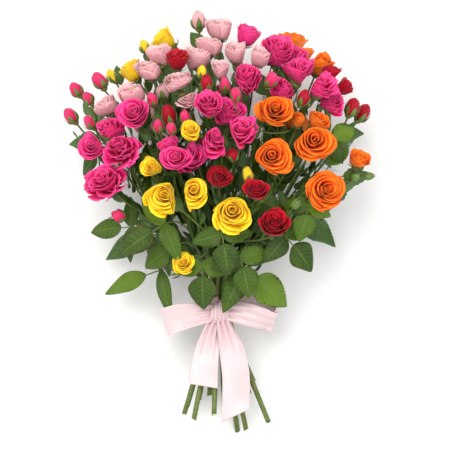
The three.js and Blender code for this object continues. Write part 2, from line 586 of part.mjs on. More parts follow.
// ---------------------------------------------------------------------------------------------------
// The binding and the ribbon
// ---------------------------------------------------------------------------------------------------
function prism(radius, sides, from, to) {
  const ring = (y) => Array.from({ length: sides }, (_, j) => {
    const angle = (2 * Math.PI * j) / sides;
    return lay(radius * Math.sin(angle), y, radius * Math.cos(angle));
  });
  return ringSolid([[lay(0, from, 0)], ring(from), ring(to), [lay(0, to, 0)]]);
}
const tube = (inner, outer, sides, from, to) =>
  prism(outer, sides, from, to).subtract(prism(inner, sides, from - 1, to + 1));
const binding = tube(BINDING.inner, BINDING.inner + BINDING.thickness, BINDING.sides,
  TIE.y - BINDING.width / 2, TIE.y + BINDING.width / 2);

// A strip of ribbon: points along its middle, the direction of its width at each, and its share of it.
function strip(points) {
  const middles = points.map(([at]) => lay(...at));
  const last = middles.length - 1;
  const rings = points.map(([, across, share = 1], i) => {
    const along = middles[Math.min(i + 1, last)].clone().sub(middles[Math.max(i - 1, 0)]).normalize();
    const wide = squareTo(along, lay(...across)).multiplyScalar((share * RIBBON.width) / 2);
    const thick = new THREE.Vector3().crossVectors(along, wide).setLength(RIBBON.thickness / 2);
    return [[1, 1], [-1, 1], [-1, -1], [1, -1]].map(([a, b]) =>
      middles[i].clone().addScaledVector(wide, a).addScaledVector(thick, b));
  });
  const centre = (ring) => ring.reduce((sum, p) => sum.addScaledVector(p, 0.25), new THREE.Vector3());
  return ringSolid([[centre(rings[0])], ...rings, [centre(rings[rings.length - 1])]]);
}

const ring = Array.from({ length: 13 }, (_, i) => {
  const angle = THREE.MathUtils.lerp(0.22, 2 * Math.PI - 0.22, i / 12);
  const radius = RIBBON.wrapRadius;
  return [[radius * Math.sin(angle), TIE.y, radius * Math.cos(angle)], [0, 1, 0], 0.86];
});
const ellipsoid = ({ at: [x, y, z], half: [a, b, c] }, sides) => ringSolid([
  [lay(x, y - b, z)],
  ...[[-0.75, 0.66], [0, 1], [0.75, 0.66]].map(([t, r]) => Array.from({ length: sides }, (_, j) => {
    const angle = (2 * Math.PI * j) / sides;
    return lay(x + a * r * Math.sin(angle), y + b * t, z + c * r * Math.cos(angle));
  })),
  [lay(x, y + b, z)],
]);
const ribbon = join([ellipsoid(KNOT, 8), strip(ring), ...Object.values(BOW).map(strip)]);

// ---------------------------------------------------------------------------------------------------
// Finding room: each stalk and leaf takes the first of its ways that stays clear of what is in place
// ---------------------------------------------------------------------------------------------------
const taken = [];

function take(node, room, flower, leaf) {
  taken.push({ node, room, flower, leaf, box: room.boundingBox() });
}

const meets = (a, b) => [0, 1, 2].every((i) => a.min[i] <= b.max[i] && b.min[i] <= a.max[i]);

// What a stalk or leaf of a node has to keep clear of: a stalk may touch its own flower and its own stem,
// and a leaf its own stem's stalks, though not its own stem's other leaves.
function inTheWay(node, solid, flower, leaf) {
  const box = solid.boundingBox();
  const other = (t) => t.node !== node || (leaf && t.leaf);
  return taken.filter((t) => other(t) && !(flower && t.flower === flower) && meets(box, t.box));
}

function crowding(node, solid, flower, leaf) {
  const volumes = inTheWay(node, solid, flower, leaf).map((t) => Math.abs(solid.intersect(t.room).volume()));
  return volumes.reduce((sum, volume) => sum + volume, 0);
}

function clearest(node, ways, build, flower, leaf) {
  let best = null;
  for (const way of ways) {
    const amount = crowding(node, build(way), flower, leaf);
    if (!best || amount < best.amount) best = { way, amount };
    if (amount === 0) break;
  }
  return best;
}

// Takes the clearest way, cuts off what still crosses another piece, and keeps its place for it.
function place(node, ways, build, flower, leaf) {
  const { way, amount } = clearest(node, ways, build, flower, leaf);
  const solid = build(way);
  const rooms = inTheWay(node, solid, flower);
  take(node, build(way, GAP), flower, leaf);
  return amount > 0 ? rooms.reduce((rest, t) => rest.subtract(t.room), solid) : solid;
}

// The ways of a stalk: [change of where it leaves its stem, how far it is bent, [turned aside]].
const TURNS = [[0, 0], [0.25, 0], [-0.25, 0], [0.01, 0.25], [0.01, -0.25], [0.4, 0], [-0.4, 0], [0.01, 0.4],
  [0.01, -0.4], [0.3, 0.3], [-0.3, -0.3], [0.3, -0.3], [-0.3, 0.3]];
const LEAVES_EARLIER = [0, -0.15, -0.3, -0.45];
const BENDS = [0.42, 0.2, 0.6];
const STALK_WAYS = TURNS.flatMap((turn) =>
  LEAVES_EARLIER.flatMap((leave) => BENDS.map((bend) => [leave, bend, turn])));

// The ways of a leaf: as listed, or swung and lifted by more and more.
const REACHES = [0.08, 0.16, 0.26, 0.38];
const SIDES = [[0, 1], [0, -1], [1, 0], [-1, 0], [1, 1], [-1, -1], [1, -1], [-1, 1]];
const LEAF_WAYS = [[0, 0], ...REACHES.flatMap((reach) => SIDES.map(([a, b]) => [a * reach, b * reach]))];

// A block under the surface that the bouquet lies on.
const blockRing = (z) => [[-400, -500], [400, -500], [400, 500], [-400, 500]]
  .map(([x, y]) => new THREE.Vector3(x, y, z));
const block = ringSolid([
  [new THREE.Vector3(0, 0, FLOOR - 60)],
  blockRing(FLOOR - 60),
  blockRing(FLOOR + GAP),
  [new THREE.Vector3(0, 0, FLOOR + GAP)],
]);

take('surface', block);
take('satin_ribbon', ribbon);
flowers.filter((f) => f.node).forEach((f) => take(f.node, flowerRoom(f), f));
sprays.forEach((spray) => {
  take(spray.name, stemRod(spray, GAP));
  spray.parts = [stemRod(spray)];
});

// Buds take their place before the stalks of the open roses do.
sprays.forEach((spray) => spray.own.forEach((flower, k) => {
  flower.leave = 1 - (0.3 * k) / Math.max(spray.own.length - 1, 1);
}));
for (const bud of [true, false]) {
  for (const spray of sprays) {
    for (const flower of spray.own.filter((f) => bud === !f.node)) {
      const ways = STALK_WAYS.map(([leave, bend, turn]) => [flower.leave + leave, bend, turn]);
      const build = (way, grow) => stalkSolid(spray, flower, way, grow);
      spray.parts.push(place(spray.name, ways, build, flower, false));
    }
  }
}
for (const leaf of LEAVES) {
  const spray = sprays.find((s) => s.name === leaf[0]);
  const build = (way, grow) => compoundLeaf(spray, leaf, way, grow);
  spray.parts.push(place(spray.name, LEAF_WAYS, build, null, true));
}

// ---------------------------------------------------------------------------------------------------
// The nodes
// ---------------------------------------------------------------------------------------------------
const SLIVER = 0.05; // the smallest detail that a node keeps
const solids = new Map([['satin_ribbon', ribbon]]);
const onFloor = (solid) => solid.trimByPlane([0, 0, 1], FLOOR).simplify(SLIVER);

// A node without what it shares with the nodes before it.
function parted(whole) {
  let rest = whole;
  for (const other of solids.values()) {
    const near = meets(rest.boundingBox(), other.boundingBox());
    if (near && rest.intersect(other).volume() > 1e-4) rest = rest.subtract(other);
  }
  return rest;
}

for (const node of new Set(flowers.map((f) => f.node).filter(Boolean))) {
  solids.set(node, onFloor(join(flowers.filter((f) => f.node === node).map(flowerSolid))));
}
for (const spray of sprays) solids.set(spray.name, parted(onFloor(join(spray.parts))));
solids.set('binding', binding);

const box = new THREE.Box3();
for (const solid of solids.values()) {
  const { min, max } = solid.boundingBox();
  box.expandByPoint(new THREE.Vector3(...min)).expandByPoint(new THREE.Vector3(...max));
}
const middle = box.getCenter(new THREE.Vector3());
const largestBody = (solid) => solid.decompose().sort((a, b) => b.volume() - a.volume())[0];
const FAMILY = { stem: 'green', satin: 'ribbon' };

function toMesh(name, solid) {
  const { vertProperties, triVerts } = solid.getMesh();
  const geometry = new THREE.BufferGeometry();
  geometry.setAttribute('position', new THREE.BufferAttribute(new Float32Array(vertProperties), 3));
  geometry.setIndex(new THREE.BufferAttribute(new Uint32Array(triVerts), 1));
  const [first] = name.split('_');
  const color = COLOURS[FAMILY[first] ?? first];
  const material = new THREE.MeshStandardMaterial({ color, roughness: 0.6, metalness: 0 });
  const mesh = new THREE.Mesh(geometry, material);
  mesh.name = name;
  return mesh;
}

const bouquet = new THREE.Group();
bouquet.name = 'spray_rose_bouquet';
for (const [name, solid] of solids) {
  bouquet.add(toMesh(name, largestBody(solid).translate(-middle.x, -middle.y, -box.min.z)));
}
export default bouquet;
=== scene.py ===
"""The looks of a hand-tied bouquet of spray roses that lies on its back on a pale floor.

The layout is in millimetres: X across, Y from the binding towards the flowers, Z from the binding up
through the front of the head. It is tipped and shifted as the solids are, and made in metres. Every
rose, bud, stem, leaf and strip of ribbon follows its solid's place and form, with finer petals, veins
and folds.
"""
import functools
import itertools
import math
from collections import namedtuple

import bpy
import numpy as np
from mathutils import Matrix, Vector, kdtree


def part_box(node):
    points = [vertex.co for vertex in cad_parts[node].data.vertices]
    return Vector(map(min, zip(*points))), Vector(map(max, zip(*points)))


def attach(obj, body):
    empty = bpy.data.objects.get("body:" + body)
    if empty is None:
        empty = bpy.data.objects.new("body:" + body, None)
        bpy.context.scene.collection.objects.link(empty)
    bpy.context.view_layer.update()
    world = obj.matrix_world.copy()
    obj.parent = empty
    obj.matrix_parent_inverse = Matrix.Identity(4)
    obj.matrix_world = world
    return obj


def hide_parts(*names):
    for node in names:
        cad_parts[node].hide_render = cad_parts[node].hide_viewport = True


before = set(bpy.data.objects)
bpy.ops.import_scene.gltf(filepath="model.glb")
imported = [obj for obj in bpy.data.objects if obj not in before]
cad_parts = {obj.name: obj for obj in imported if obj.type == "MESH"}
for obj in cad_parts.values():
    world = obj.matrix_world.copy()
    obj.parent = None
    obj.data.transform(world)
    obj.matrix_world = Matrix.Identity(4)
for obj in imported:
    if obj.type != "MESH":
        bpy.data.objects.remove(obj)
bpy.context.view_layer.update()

# ---- Dimensions of the solids, in millimetres ----
GAP = 0.3  # between two pieces that touch
HEAD = {"x": -3, "y": 115, "rx": 165, "ry": 185, "depth": 122}  # its middle, half sizes and dome
CONE = 1.15  # how steeply the stems rise to the front of the head
HEAD_REST = (195, -66)  # where the head and the feet touch the floor: up the bunch, and behind the binding
FOOT_REST = (-128, -29)
TIE_Y, TIE_STRAIGHT = -4, 10  # the middle of the binding, and how far each side of it the stems run straight
STEM_RADIUS, STEM_TOP_RADIUS, STALK_RADIUS = 2.25, 1.5, 1.15
FORK_SHARE = 0.66  # how far towards its front flowers a stem forks
LEAVE_SHARE = 0.3  # how far below its fork a stem's last stalk leaves it
BUNDLE_RINGS = [(0, 1), (5.0, 6), (9.8, 12)]  # the stems in the binding: each ring's radius and how many
FAN_X, FAN_Z = 5.0, 3.2  # how much wider the feet stand than in the binding
FAN_ASIDE = 5  # and how far they swing to the right
WIDEN, WIDEN_BACK = 1.3, 1.2  # how much further apart the stems are at their bends beside the binding
BEND_BELOW, BEND_ABOVE, BEND_SHARE = 16, 20, 0.55  # where they bend: from the binding, and to the fork
BINDING = {"inner": 12.6, "width": 18}
RIBBON_WIDTH, WRAP_RADIUS = 27, 15.2
BLOOM_SIZE, LEAF_SIZE = 1.12, 1.12  # drawn sizes to those in the tables
REST_RISE = 0.86  # how high a rose that lies on the floor is, in radii
NECK = 0.36  # how far under its seat a flower's stalk ends, in radii
GOLDEN_ANGLE = 2.399963
MM = 1000  # in a metre

# Each stem's flowers: the number of the rose's node (0 for a bud), its form, where it is across and up the
# bunch, how far behind the head's front (or "rest" on the floor), its radius, and which way it faces.
SPRAYS = {
    "stem_pink_1": [
        (1, "half", 27, 272, 28, 12, (0.35, 0.9, 0.25)), (2, "ruffle", 57, 253, 22, 17),
        (2, "ruffle", 76, 246, 34, 14), (0, "bud", 45, 223, 6, 8.5),
    ],
    "stem_pink_2": [
        (3, "ruffle", 65, 217, 16, 13), (3, "ruffle", 80, 230, 8, 16), (3, "ruffle", 98, 216, 2, 16),
        (3, "ruffle", 113, 202, 12, 13),
    ],
    "stem_pink_3": [
        (4, "ruffle", 25, 227, 12, 16), (5, "ruffle", -12, 199, 0, 17), (5, "ruffle", 10, 190, 10, 14),
        (0, "bud", 15, 208, -8, 7), (0, "bud", 8, 221, 14, 7.5), (0, "bud", -33, 186, 4, 7.5),
    ],
    "stem_pink_4": [
        (6, "ruffle", 20, 174, 4, 16.5), (6, "ruffle", -8, 163, 0, 14.5),
        (7, "ruffle", 8, 205, 142, 16, (0.05, 0.75, -0.62)),
    ],
    "stem_pink_5": [
        (8, "open", -40, 144, 0, 17), (8, "ruffle", -17, 141, 8, 14.5),
        (8, "half", -65, 157, 14, 11, (-0.2, 0.55, 0.75)), (0, "bud", -47, 174, -8, 6.5),
    ],
    "stem_pink_6": [
        (9, "open", -84, 188, 2, 18), (0, "bud", -62, 178, 2, 7), (0, "bud", -70, 202, 8, 7),
    ],
    "stem_pink_7": [
        (10, "open", -127, 158, 4, 14), (10, "ruffle", -109, 177, 6, 15), (10, "ruffle", -97, 161, 0, 16.5),
        (11, "ruffle", -115, 123, 14, 16), (0, "bud", -101, 89, 40, 7.5, (-0.5, 0.2, 0.5)),
        (0, "bud", -130, 182, 10, 7),
    ],
    "stem_blush_1": [
        (1, "cup", -86, 212, 10, 13.5), (2, "cup", -114, 199, 8, 12), (0, "bud", -145, 216, -8, 7.5),
        (0, "bud", -131, 206, -6, 7), (0, "bud", -150, 189, 4, 8), (0, "bud", -120, 223, -6, 9),
    ],
    "stem_blush_2": [
        (3, "cup", -59, 251, 16, 12), (3, "cup", -72, 232, 8, 14), (0, "bud", -57, 214, 34, 9),
        (4, "cup", -39, 221, 6, 13.5), (4, "ruffle", -31, 207, 10, 10),
        (5, "cup", -72, 192, "rest", 15, (-0.35, 0.75, -0.45)),
    ],
    "stem_blush_3": [
        (6, "cup", 0, 277, 32, 12.5, (0.05, 0.95, 0.3)), (7, "cup", -10, 261, 36, 11.5),
        (7, "cup", -24, 248, 24, 13), (8, "cup", 19, 252, 20, 12), (8, "cup", 38, 247, 18, 12),
        (9, "cup", 2, 235, 18, 10), (0, "bud", -22, 286, 42, 9, (-0.1, 1, 0.1)),
    ],
    "stem_yellow_1": [
        (1, "half", -58, 267, 52, 13, (-0.75, 0.6, 0.1)), (2, "half", -90, 236, 34, 12, (-0.55, 0.8, 0.1)),
        (0, "bud", -76, 259, 36, 6.5, (-0.3, 0.9, 0.2)), (0, "bud", -108, 229, 16, 6.5, (-0.5, 0.85, 0.1)),
        (0, "bud", -17, 231, 22, 7),
    ],
    "stem_yellow_2": [
        (3, "open", -57, 110, 2, 19, (-0.12, 0.12, 1)), (3, "open", -24, 118, 0, 17.5, (0.02, 0.1, 1)),
        (4, "open", 11.5, 99, 2, 19.5, (0.08, 0.12, 1)), (5, "open", -29, 170, -8, 12),
        (6, "open", -65, 140, 8, 11.5), (7, "open", -37, 42, -20, 10.5, (-0.15, 0.25, 1)),
        (0, "bud", 28, 131, 14, 8),
    ],
    "stem_orange_1": [
        (1, "half", 73, 265, 56, 14, (0.25, 0.9, 0.3)), (1, "half", 86, 252, 46, 11),
        (1, "half", 102, 243, 32, 13, (0.3, 0.75, 0.6)),
    ],
    "stem_orange_2": [
        (2, "open", 55, 195, 2, 19, (0.06, 0.3, 1)), (0, "bud", 84, 206, 6, 9), (3, "half", 79, 185, 16, 9),
        (3, "open", 99, 189, 22, 14), (3, "open", 93, 162, 0, 20.5, (0.12, 0.18, 1)),
        (4, "open", 76, 190, "rest", 17, (0.35, 0.75, -0.5)),
    ],
    "stem_orange_3": [
        (5, "open", 50, 148, 0, 20.5, (0.05, 0.12, 1)), (6, "open", 105, 115, 6, 18.5, (0.3, 0.05, 1)),
        (7, "half", 139, 143, 8, 11, (0.3, 0.75, 0.55)), (0, "green_bud", 75, 101, 14, 6),
        (0, "green_bud", 136, 130, 12, 5), (0, "green_bud", 149, 129, 2, 5, (0.9, 0.1, 0.2)),
    ],
    "stem_red_1": [
        (1, "half", -44, 244, 6, 12.5, (-0.05, 0.9, 0.45)), (0, "bud", -10, 218, 10, 9.5),
        (0, "bud", -51, 188, 18, 10),
    ],
    "stem_red_2": [
        (2, "half", 112, 233, 10, 11, (0.25, 0.9, 0.2)), (2, "half", 125, 221, 6, 10, (0.75, 0.65, 0.1)),
        (0, "bud", 130, 198, 2, 9, (0.35, 0.85, 0.3)), (0, "bud", 143, 192, 4, 9, (0.55, 0.8, 0.2)),
    ],
    "stem_red_3": [
        (3, "open", 2, 127, 14, 15), (4, "half", 34.5, 114, -4, 12, (0, 0.55, 0.8)),
        (5, "half", 54, 81, 4, 13.5, (0.1, 0.45, 0.85)), (0, "bud", 10, 148, 12, 8.5),
        (6, "half", -18, 160, 150, 13, (-0.1, 0.7, -0.65)),
    ],
}
# How much each form faces the front, and how far behind its middle it sits in its sepals, in radii.
FORWARD = {"open": 0.55, "ruffle": 0.4, "cup": 0.2, "half": 0.2, "bud": 0.05, "green_bud": 0.05}
SEAT = {"open": -0.72, "ruffle": -0.80, "cup": -0.88, "half": -0.95, "bud": -0.80, "green_bud": -0.80}
CUT_LENGTHS = [  # from the binding to the cut end
    98, 128, 84, 112, 90, 104, 113, 99, 94, 131, 108, 117, 82, 92, 120, 88, 80, 102,
]
# Each compound leaf: its stem, where on it, where its leaflets meet, its tip, its width and leaflets.
LEAVES = [
    ("stem_pink_7", 0.30, (-60, 33, 22), (-114, 9, 12), 18, 3),
    ("stem_pink_7", 0.62, (-88, 78, 52), (-128, 76, 44), 19, 3),
    ("stem_pink_6", 0.50, (-56, 84, 66), (-98, 60, 70), 24, 3),
    ("stem_yellow_2", 0.30, (-18, 40, 52), (-18, -2, 46), 26, 3),
    ("stem_yellow_2", 0.45, (-44, 60, 54), (-74, 42, 52), 24, 3),
    ("stem_orange_3", 0.25, (23, 26, 40), (61, -7, 36), 30, 2),
    ("stem_red_3", 0.38, (20, 48, 66), (30, 12, 66), 24, 3),
    ("stem_red_3", 0.55, (66, 68, 60), (92, 39, 58), 26, 3),
    ("stem_orange_3", 0.60, (88, 74, 62), (124, 84, 54), 23, 2),
    ("stem_pink_4", 0.50, (2, 76, 88), (8, 40, 92), 25, 3),
    ("stem_red_2", 0.80, (108, 163, 58), (133, 178, 50), 20, 2),
    ("stem_orange_3", 0.85, (116, 136, 58), (138, 160, 44), 16, 1),
    ("stem_orange_3", 0.70, (128, 119, 44), (152, 117, 38), 11, 2),
    ("stem_pink_7", 0.85, (-124, 150, 40), (-140, 133, 34), 14, 1),
    ("stem_pink_6", 0.80, (-76, 134, 64), (-100, 116, 64), 22, 3),
    ("stem_pink_2", 0.60, (76, 126, 66), (77, 98, 80), 22, 3),
    ("stem_red_3", 0.80, (42, 100, 76), (62, 86, 86), 22, 1),
    ("stem_blush_3", 0.90, (-17, 256, 20), (-28, 276, 14), 14, 1),
    ("stem_yellow_1", 0.90, (-100, 222, 6), (-106, 242, 0), 10, 1),
    ("stem_blush_1", 0.45, (-62, 72, -6), (-108, 58, -22), 24, 3),
    ("stem_blush_2", 0.55, (-44, 104, -24), (-72, 66, -32), 26, 3),
    ("stem_pink_4", 0.80, (-12, 116, -32), (-20, 70, -40), 26, 3),
    ("stem_orange_2", 0.60, (48, 108, -24), (44, 62, -34), 26, 3),
    ("stem_red_2", 0.50, (72, 92, -10), (112, 70, -24), 25, 3),
    ("stem_orange_1", 0.80, (104, 168, -14), (136, 176, -30), 22, 3),
    ("stem_yellow_1", 0.75, (-112, 162, -12), (-144, 166, -28), 22, 3),
    ("stem_pink_1", 0.85, (50, 214, -30), (74, 244, -36), 22, 3),
    ("stem_red_1", 0.80, (-42, 214, -30), (-60, 244, -35), 22, 3),
]
# A leaf's droop, the side leaflets' turn and size, and how far the end leaflet stands beyond them.
BLADE = {"sag": 0.22, "turn": 1.45, "side": 0.75, "step": 0.25}


# ---- The layout, laid down as the solids are ----
# How far the bunch is tipped, and how high the floor is then.
TIP = math.atan2(FOOT_REST[1] - HEAD_REST[1], HEAD_REST[0] - FOOT_REST[0])
FLOOR = HEAD_REST[0] * math.sin(TIP) + HEAD_REST[1] * math.cos(TIP)
AXIS_X = np.array([1.0, 0.0, 0.0])


def lay(x, y, z):
    """A place or direction of the upright layout, laid down."""
    return np.array([x, y * math.cos(TIP) - z * math.sin(TIP), y * math.sin(TIP) + z * math.cos(TIP)])


FRONT = lay(0, 0, 1)
UP_BUNCH = lay(0, 1, 0)


def unit(v):
    return v / np.linalg.norm(v)


def square_to(along, wanted):
    """The part of a direction that is square to another, one long."""
    return unit(wanted - along * np.dot(wanted, along))


def turned(v, axis, angle):
    """A direction turned about an axis."""
    c, s = math.cos(angle), math.sin(angle)
    return v * c + np.cross(axis, v) * s + axis * np.dot(axis, v) * (1 - c)


def quadratic(points, t):
    a, b, c = points
    t = np.asarray(t, float)[..., None]
    return a * (1 - t) ** 2 + b * 2 * t * (1 - t) + c * t**2


def cubic(points, t):
    a, b, c, d = points
    t = np.asarray(t, float)[..., None]
    return a * (1 - t) ** 3 + b * 3 * t * (1 - t) ** 2 + c * 3 * t**2 * (1 - t) + d * t**3


class Flower:
    """A rose or a bud: where it is, which way it faces, and the planes that it keeps behind."""

    def __init__(self, stem, number, form, x, y, back, radius, face=None):
        self.stem, self.form = stem, form
        self.family = stem.split("_")[1]
        self.node = f"{self.family}_rose_{number}" if number else ""
        self.rests = back == "rest"
        reach = 1 - ((x - HEAD["x"]) / HEAD["rx"]) ** 2 - ((y - HEAD["y"]) / HEAD["ry"]) ** 2
        z = 0 if self.rests else min(HEAD["depth"] * math.sqrt(max(reach, 0)), CONE * y) - back
        self.at = lay(x, y, z)
        if self.rests:
            self.at[2] = FLOOR + REST_RISE * radius
        ray = unit(self.at)
        share = FORWARD[form]
        self.facing = unit(lay(*face)) if face else unit(ray * (1 - share) + FRONT * share)
        self.index = len(flowers)
        self.across = turned(square_to(self.facing, AXIS_X), self.facing, self.index * GOLDEN_ANGLE)
        self.other = np.cross(self.facing, self.across)
        self.radius = BLOOM_SIZE * radius
        self.planes, self.own_planes = [], []


flowers = []
for stem_name, entries in SPRAYS.items():
    for entry in entries:
        flowers.append(Flower(stem_name, *entry))


def joined(a, b):
    """Whether two flowers share one solid."""
    return bool(a.node) and a.node == b.node


def settle(rounds=160, touching=0.70, apart=0.95, sideways=0.35):
    """Moves the flowers apart until no two are closer than their petals allow."""
    places = [[float(c) for c in f.at] for f in flowers]
    pairs = []
    for i, a in enumerate(flowers):
        for j, b in enumerate(flowers[i + 1 :], i + 1):
            linked = joined(a, b)
            reach = (a.radius + b.radius) * (touching if linked else apart)
            pairs.append((places[i], places[j], reach, linked and j == i + 1, a.rests, b.rests))
    for _ in range(rounds):
        for p, q, reach, held, p_rests, q_rests in pairs:
            dx, dy, dz = q[0] - p[0], q[1] - p[1], q[2] - p[2]
            if not held and (abs(dx) > reach or abs(dy) > reach or abs(dz) > reach):
                continue
            length = math.sqrt(dx * dx + dy * dy + dz * dz)
            short = reach - length
            if short < 0 and not held:
                continue
            step = short / 2 / length
            dx, dy, dz = dx * step * sideways, dy * step * sideways, dz * step
            if not p_rests:
                p[0], p[1], p[2] = p[0] - dx, p[1] - dy, p[2] - dz
            if not q_rests:
                q[0], q[1], q[2] = q[0] + dx, q[1] + dy, q[2] + dz
    for f, place in zip(flowers, places):
        f.at = np.array(place)


def part_neighbours(near=1.25):
    """Gives each two flowers that are near each other a plane between them."""
    for a, b in itertools.combinations(flowers, 2):
        way = b.at - a.at
        distance = np.linalg.norm(way)
        if distance > (a.radius + b.radius) * near:
            continue
        way = way / distance
        share = distance * (a.radius / (a.radius + b.radius))
        for one, sign, limit in ((a, 1, share), (b, -1, distance - share)):
            planes = one.own_planes if joined(a, b) else one.planes
            planes.append((way * sign, limit - GAP / 2))


settle()
part_neighbours()
FLARE = 1.22  # how far a petal reaches at most, in radii


def squeezed(flower, points, planes, soft_share, passes):
    """Squeezes the side of a flower that faces each of its planes until it is behind it."""
    reach = FLARE * flower.radius
    points = points.copy()
    for _ in range(passes):
        for way, limit in planes:
            d = (points - flower.at) @ way
            soft = soft_share * limit
            if reach > limit:
                pull = np.where(d > soft, (d - soft) * (limit - reach) / (reach - soft), 0)
                points += pull[..., None] * way
            over = np.maximum((points - flower.at) @ way - limit, 0)
            points -= over[..., None] * way
    return points


def in_flower(flower, x, y, z):
    """Points of a flower in radii of it: across, the other way, and along its axis."""
    parts = ((x, flower.across), (y, flower.other), (z, flower.facing))
    return flower.at + flower.radius * sum(np.multiply.outer(amount, way) for amount, way in parts)


def kept_over(points, least, given=0.0):
    """Holds points over a height, but for a share of how far they were under it, so that none coincide."""
    points[..., 2] = np.maximum(points[..., 2], least + given * (points[..., 2] - least))
    return points


# ---- Stems, and the way that each stalk and leaf takes in the solids ----
class Spray:
    """One stem with its flowers."""

    def __init__(self, name, cut):
        self.name, self.cut = name, cut
        self.own = [f for f in flowers if f.stem == name]
        front = [f for f in self.own if f.at @ FRONT > 0]
        self.fork = sum(f.at for f in front) / len(front) * FORK_SHARE
        for k, f in enumerate(self.own):
            f.leave = 1 - (LEAVE_SHARE * k) / max(len(self.own) - 1, 1)

    def bend(self, x, z):
        """Sets the stem's two curves from its place in the binding."""
        reach = self.cut / -FOOT_REST[0]
        below, above = TIE_Y - TIE_STRAIGHT, TIE_Y + TIE_STRAIGHT
        lowest = FOOT_REST[1] + STEM_RADIUS - 1
        foot = lay(x * reach * FAN_X + FAN_ASIDE, -self.cut, max(z * reach * FAN_Z, lowest))
        self.lower = [foot, lay(x * WIDEN, below - BEND_BELOW, z * WIDEN_BACK), lay(x, below, z)]
        bend = lay(x * WIDEN, above + BEND_ABOVE, z * WIDEN)
        self.upper = [lay(x, above, z), bend, self.fork * BEND_SHARE, self.fork]


sprays = {name: Spray(name, cut) for name, cut in zip(SPRAYS, CUT_LENGTHS)}


def places_in_binding(rounds=40, spread=14, forward=30):
    """Swaps the stems' places in the binding until no swap brings two nearer to their forks' side."""
    places = []
    for radius, count in BUNDLE_RINGS:
        angles = [2 * math.pi * (k + 0.5) / count for k in range(count)]
        places += [(radius * math.cos(angle), radius * math.sin(angle)) for angle in angles]
    wanted = []
    for s in sprays.values():
        wanted.append((s.fork[0] / s.fork[1] * spread, (s.fork @ FRONT - forward) / s.fork[1] * spread))

    def cost(spray, place):
        if spray >= len(wanted):
            return 0
        return (wanted[spray][0] - place[0]) ** 2 + (wanted[spray][1] - place[1]) ** 2

    for _ in range(rounds):
        for i, j in itertools.combinations(range(len(places)), 2):
            now = cost(i, places[i]) + cost(j, places[j])
            if cost(i, places[j]) + cost(j, places[i]) < now - 1e-6:
                places[i], places[j] = places[j], places[i]
    return places


for s, (x, z) in zip(sprays.values(), places_in_binding()):
    s.bend(x, z)

low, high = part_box("binding")
SHIFT = lay(0, TIE_Y, 0) - (np.array(low) + np.array(high)) * MM / 2


def solid_tree(node):
    """The corners of a node's solid, in the layout."""
    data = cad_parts[node].data
    tree = kdtree.KDTree(len(data.vertices))
    for k, vertex in enumerate(data.vertices):
        tree.insert(Vector(np.array(vertex.co) * MM + SHIFT), k)
    tree.balance()
    return tree


def best_way(tree, ways, points_of, most=1.5):
    """The first of the ways whose points lie best on the solid's corners."""
    best, least = None, None
    for way in ways:
        missed = sum(min(tree.find(Vector(p))[2], most) for p in points_of(way))
        if best is None or missed < least - 1e-3:
            best, least = way, missed
    return best


# The ways that a stalk can take, as in the solids: further down its stem, its knee nearer or further, and
# the knee turned aside; and the turns of a leaf.
TURNS = [(0, 0), (0.25, 0), (-0.25, 0), (0.01, 0.25), (0.01, -0.25), (0.4, 0), (-0.4, 0), (0.01, 0.4)]
TURNS += [(0.01, -0.4), (0.3, 0.3), (-0.3, -0.3), (0.3, -0.3), (-0.3, 0.3)]
LEAVINGS, BENDS = (0, -0.15, -0.3, -0.45), (0.42, 0.2, 0.6)
STALK_WAYS = [(leave, bend, turn) for turn in TURNS for leave in LEAVINGS for bend in BENDS]
SIDES = [(0, 1), (0, -1), (1, 0), (-1, 0), (1, 1), (-1, -1), (1, -1), (-1, 1)]
LEAF_WAYS = [(0, 0)] + [(a * r, b * r) for r in (0.08, 0.16, 0.26, 0.38) for a, b in SIDES]


def rings_along(path, radii, sides, wanted):
    """Rings round a path, turned as little as can be from a wanted direction at the last of them."""
    rings, across = [], wanted
    last = len(path) - 1
    for i in range(last, -1, -1):
        along = unit(path[min(i + 1, last)] - path[max(i - 1, 0)])
        across = square_to(along, across)
        other = np.cross(along, across)
        angle = 2 * math.pi * np.arange(sides) / sides
        ring = np.outer(np.cos(angle), across) + np.outer(np.sin(angle), other)
        rings.append(path[i] + radii[i] * ring)
    return np.array(rings[::-1])


def stalk_curve(spray, flower, way):
    """The curve of a flower's stalk, from its stem by a knee to the flower's neck."""
    leave, bend, turn = way
    neck = flower.at + flower.facing * flower.radius * (SEAT[flower.form] - NECK)
    start = cubic(spray.upper, flower.leave + leave)
    span = np.linalg.norm(neck - start)
    knee = neck - flower.facing * bend * span
    if turn[0]:
        knee = knee + flower.across * turn[0] * span + flower.other * turn[1] * span
    return [start, knee, neck]


def stalk_points(spray, flower, way):
    """Corners that the solid of a stalk has if it takes a way."""
    path = quadratic(stalk_curve(spray, flower, way), [0, 0.5, 1])
    sides = 3 if flower.node else 4
    return rings_along(path, [STALK_RADIUS] * 3, sides, flower.across)[1:].reshape(-1, 3)


Leaf = namedtuple("Leaf", "stem share joint tip width leaflets")
Blade = namedtuple("Blade", "meet along side up length stalk")  # where its leaflets meet, its directions


def leaf_frame(spray, leaf, way):
    """The blade of a compound leaf if it takes a way."""
    lean, slack = 0.5, 0.4  # of the blade away from the bunch, and of the stalk's knee
    start = cubic(spray.upper, leaf.share)

    def moved(p):
        return turned(turned(lay(*p) - start, FRONT, way[0]), AXIS_X, way[1]) + start

    meet, end = moved(leaf.joint), moved(leaf.tip)
    along = unit(end - meet)
    up = square_to(along, FRONT * (-1 if leaf.joint[2] < 0 else 1) + unit(meet) * lean)
    knee = meet - along * slack * np.linalg.norm(meet - start)
    length = LEAF_SIZE * np.linalg.norm(end - meet)
    return Blade(meet, along, np.cross(along, up), up, length, [start, knee, meet])


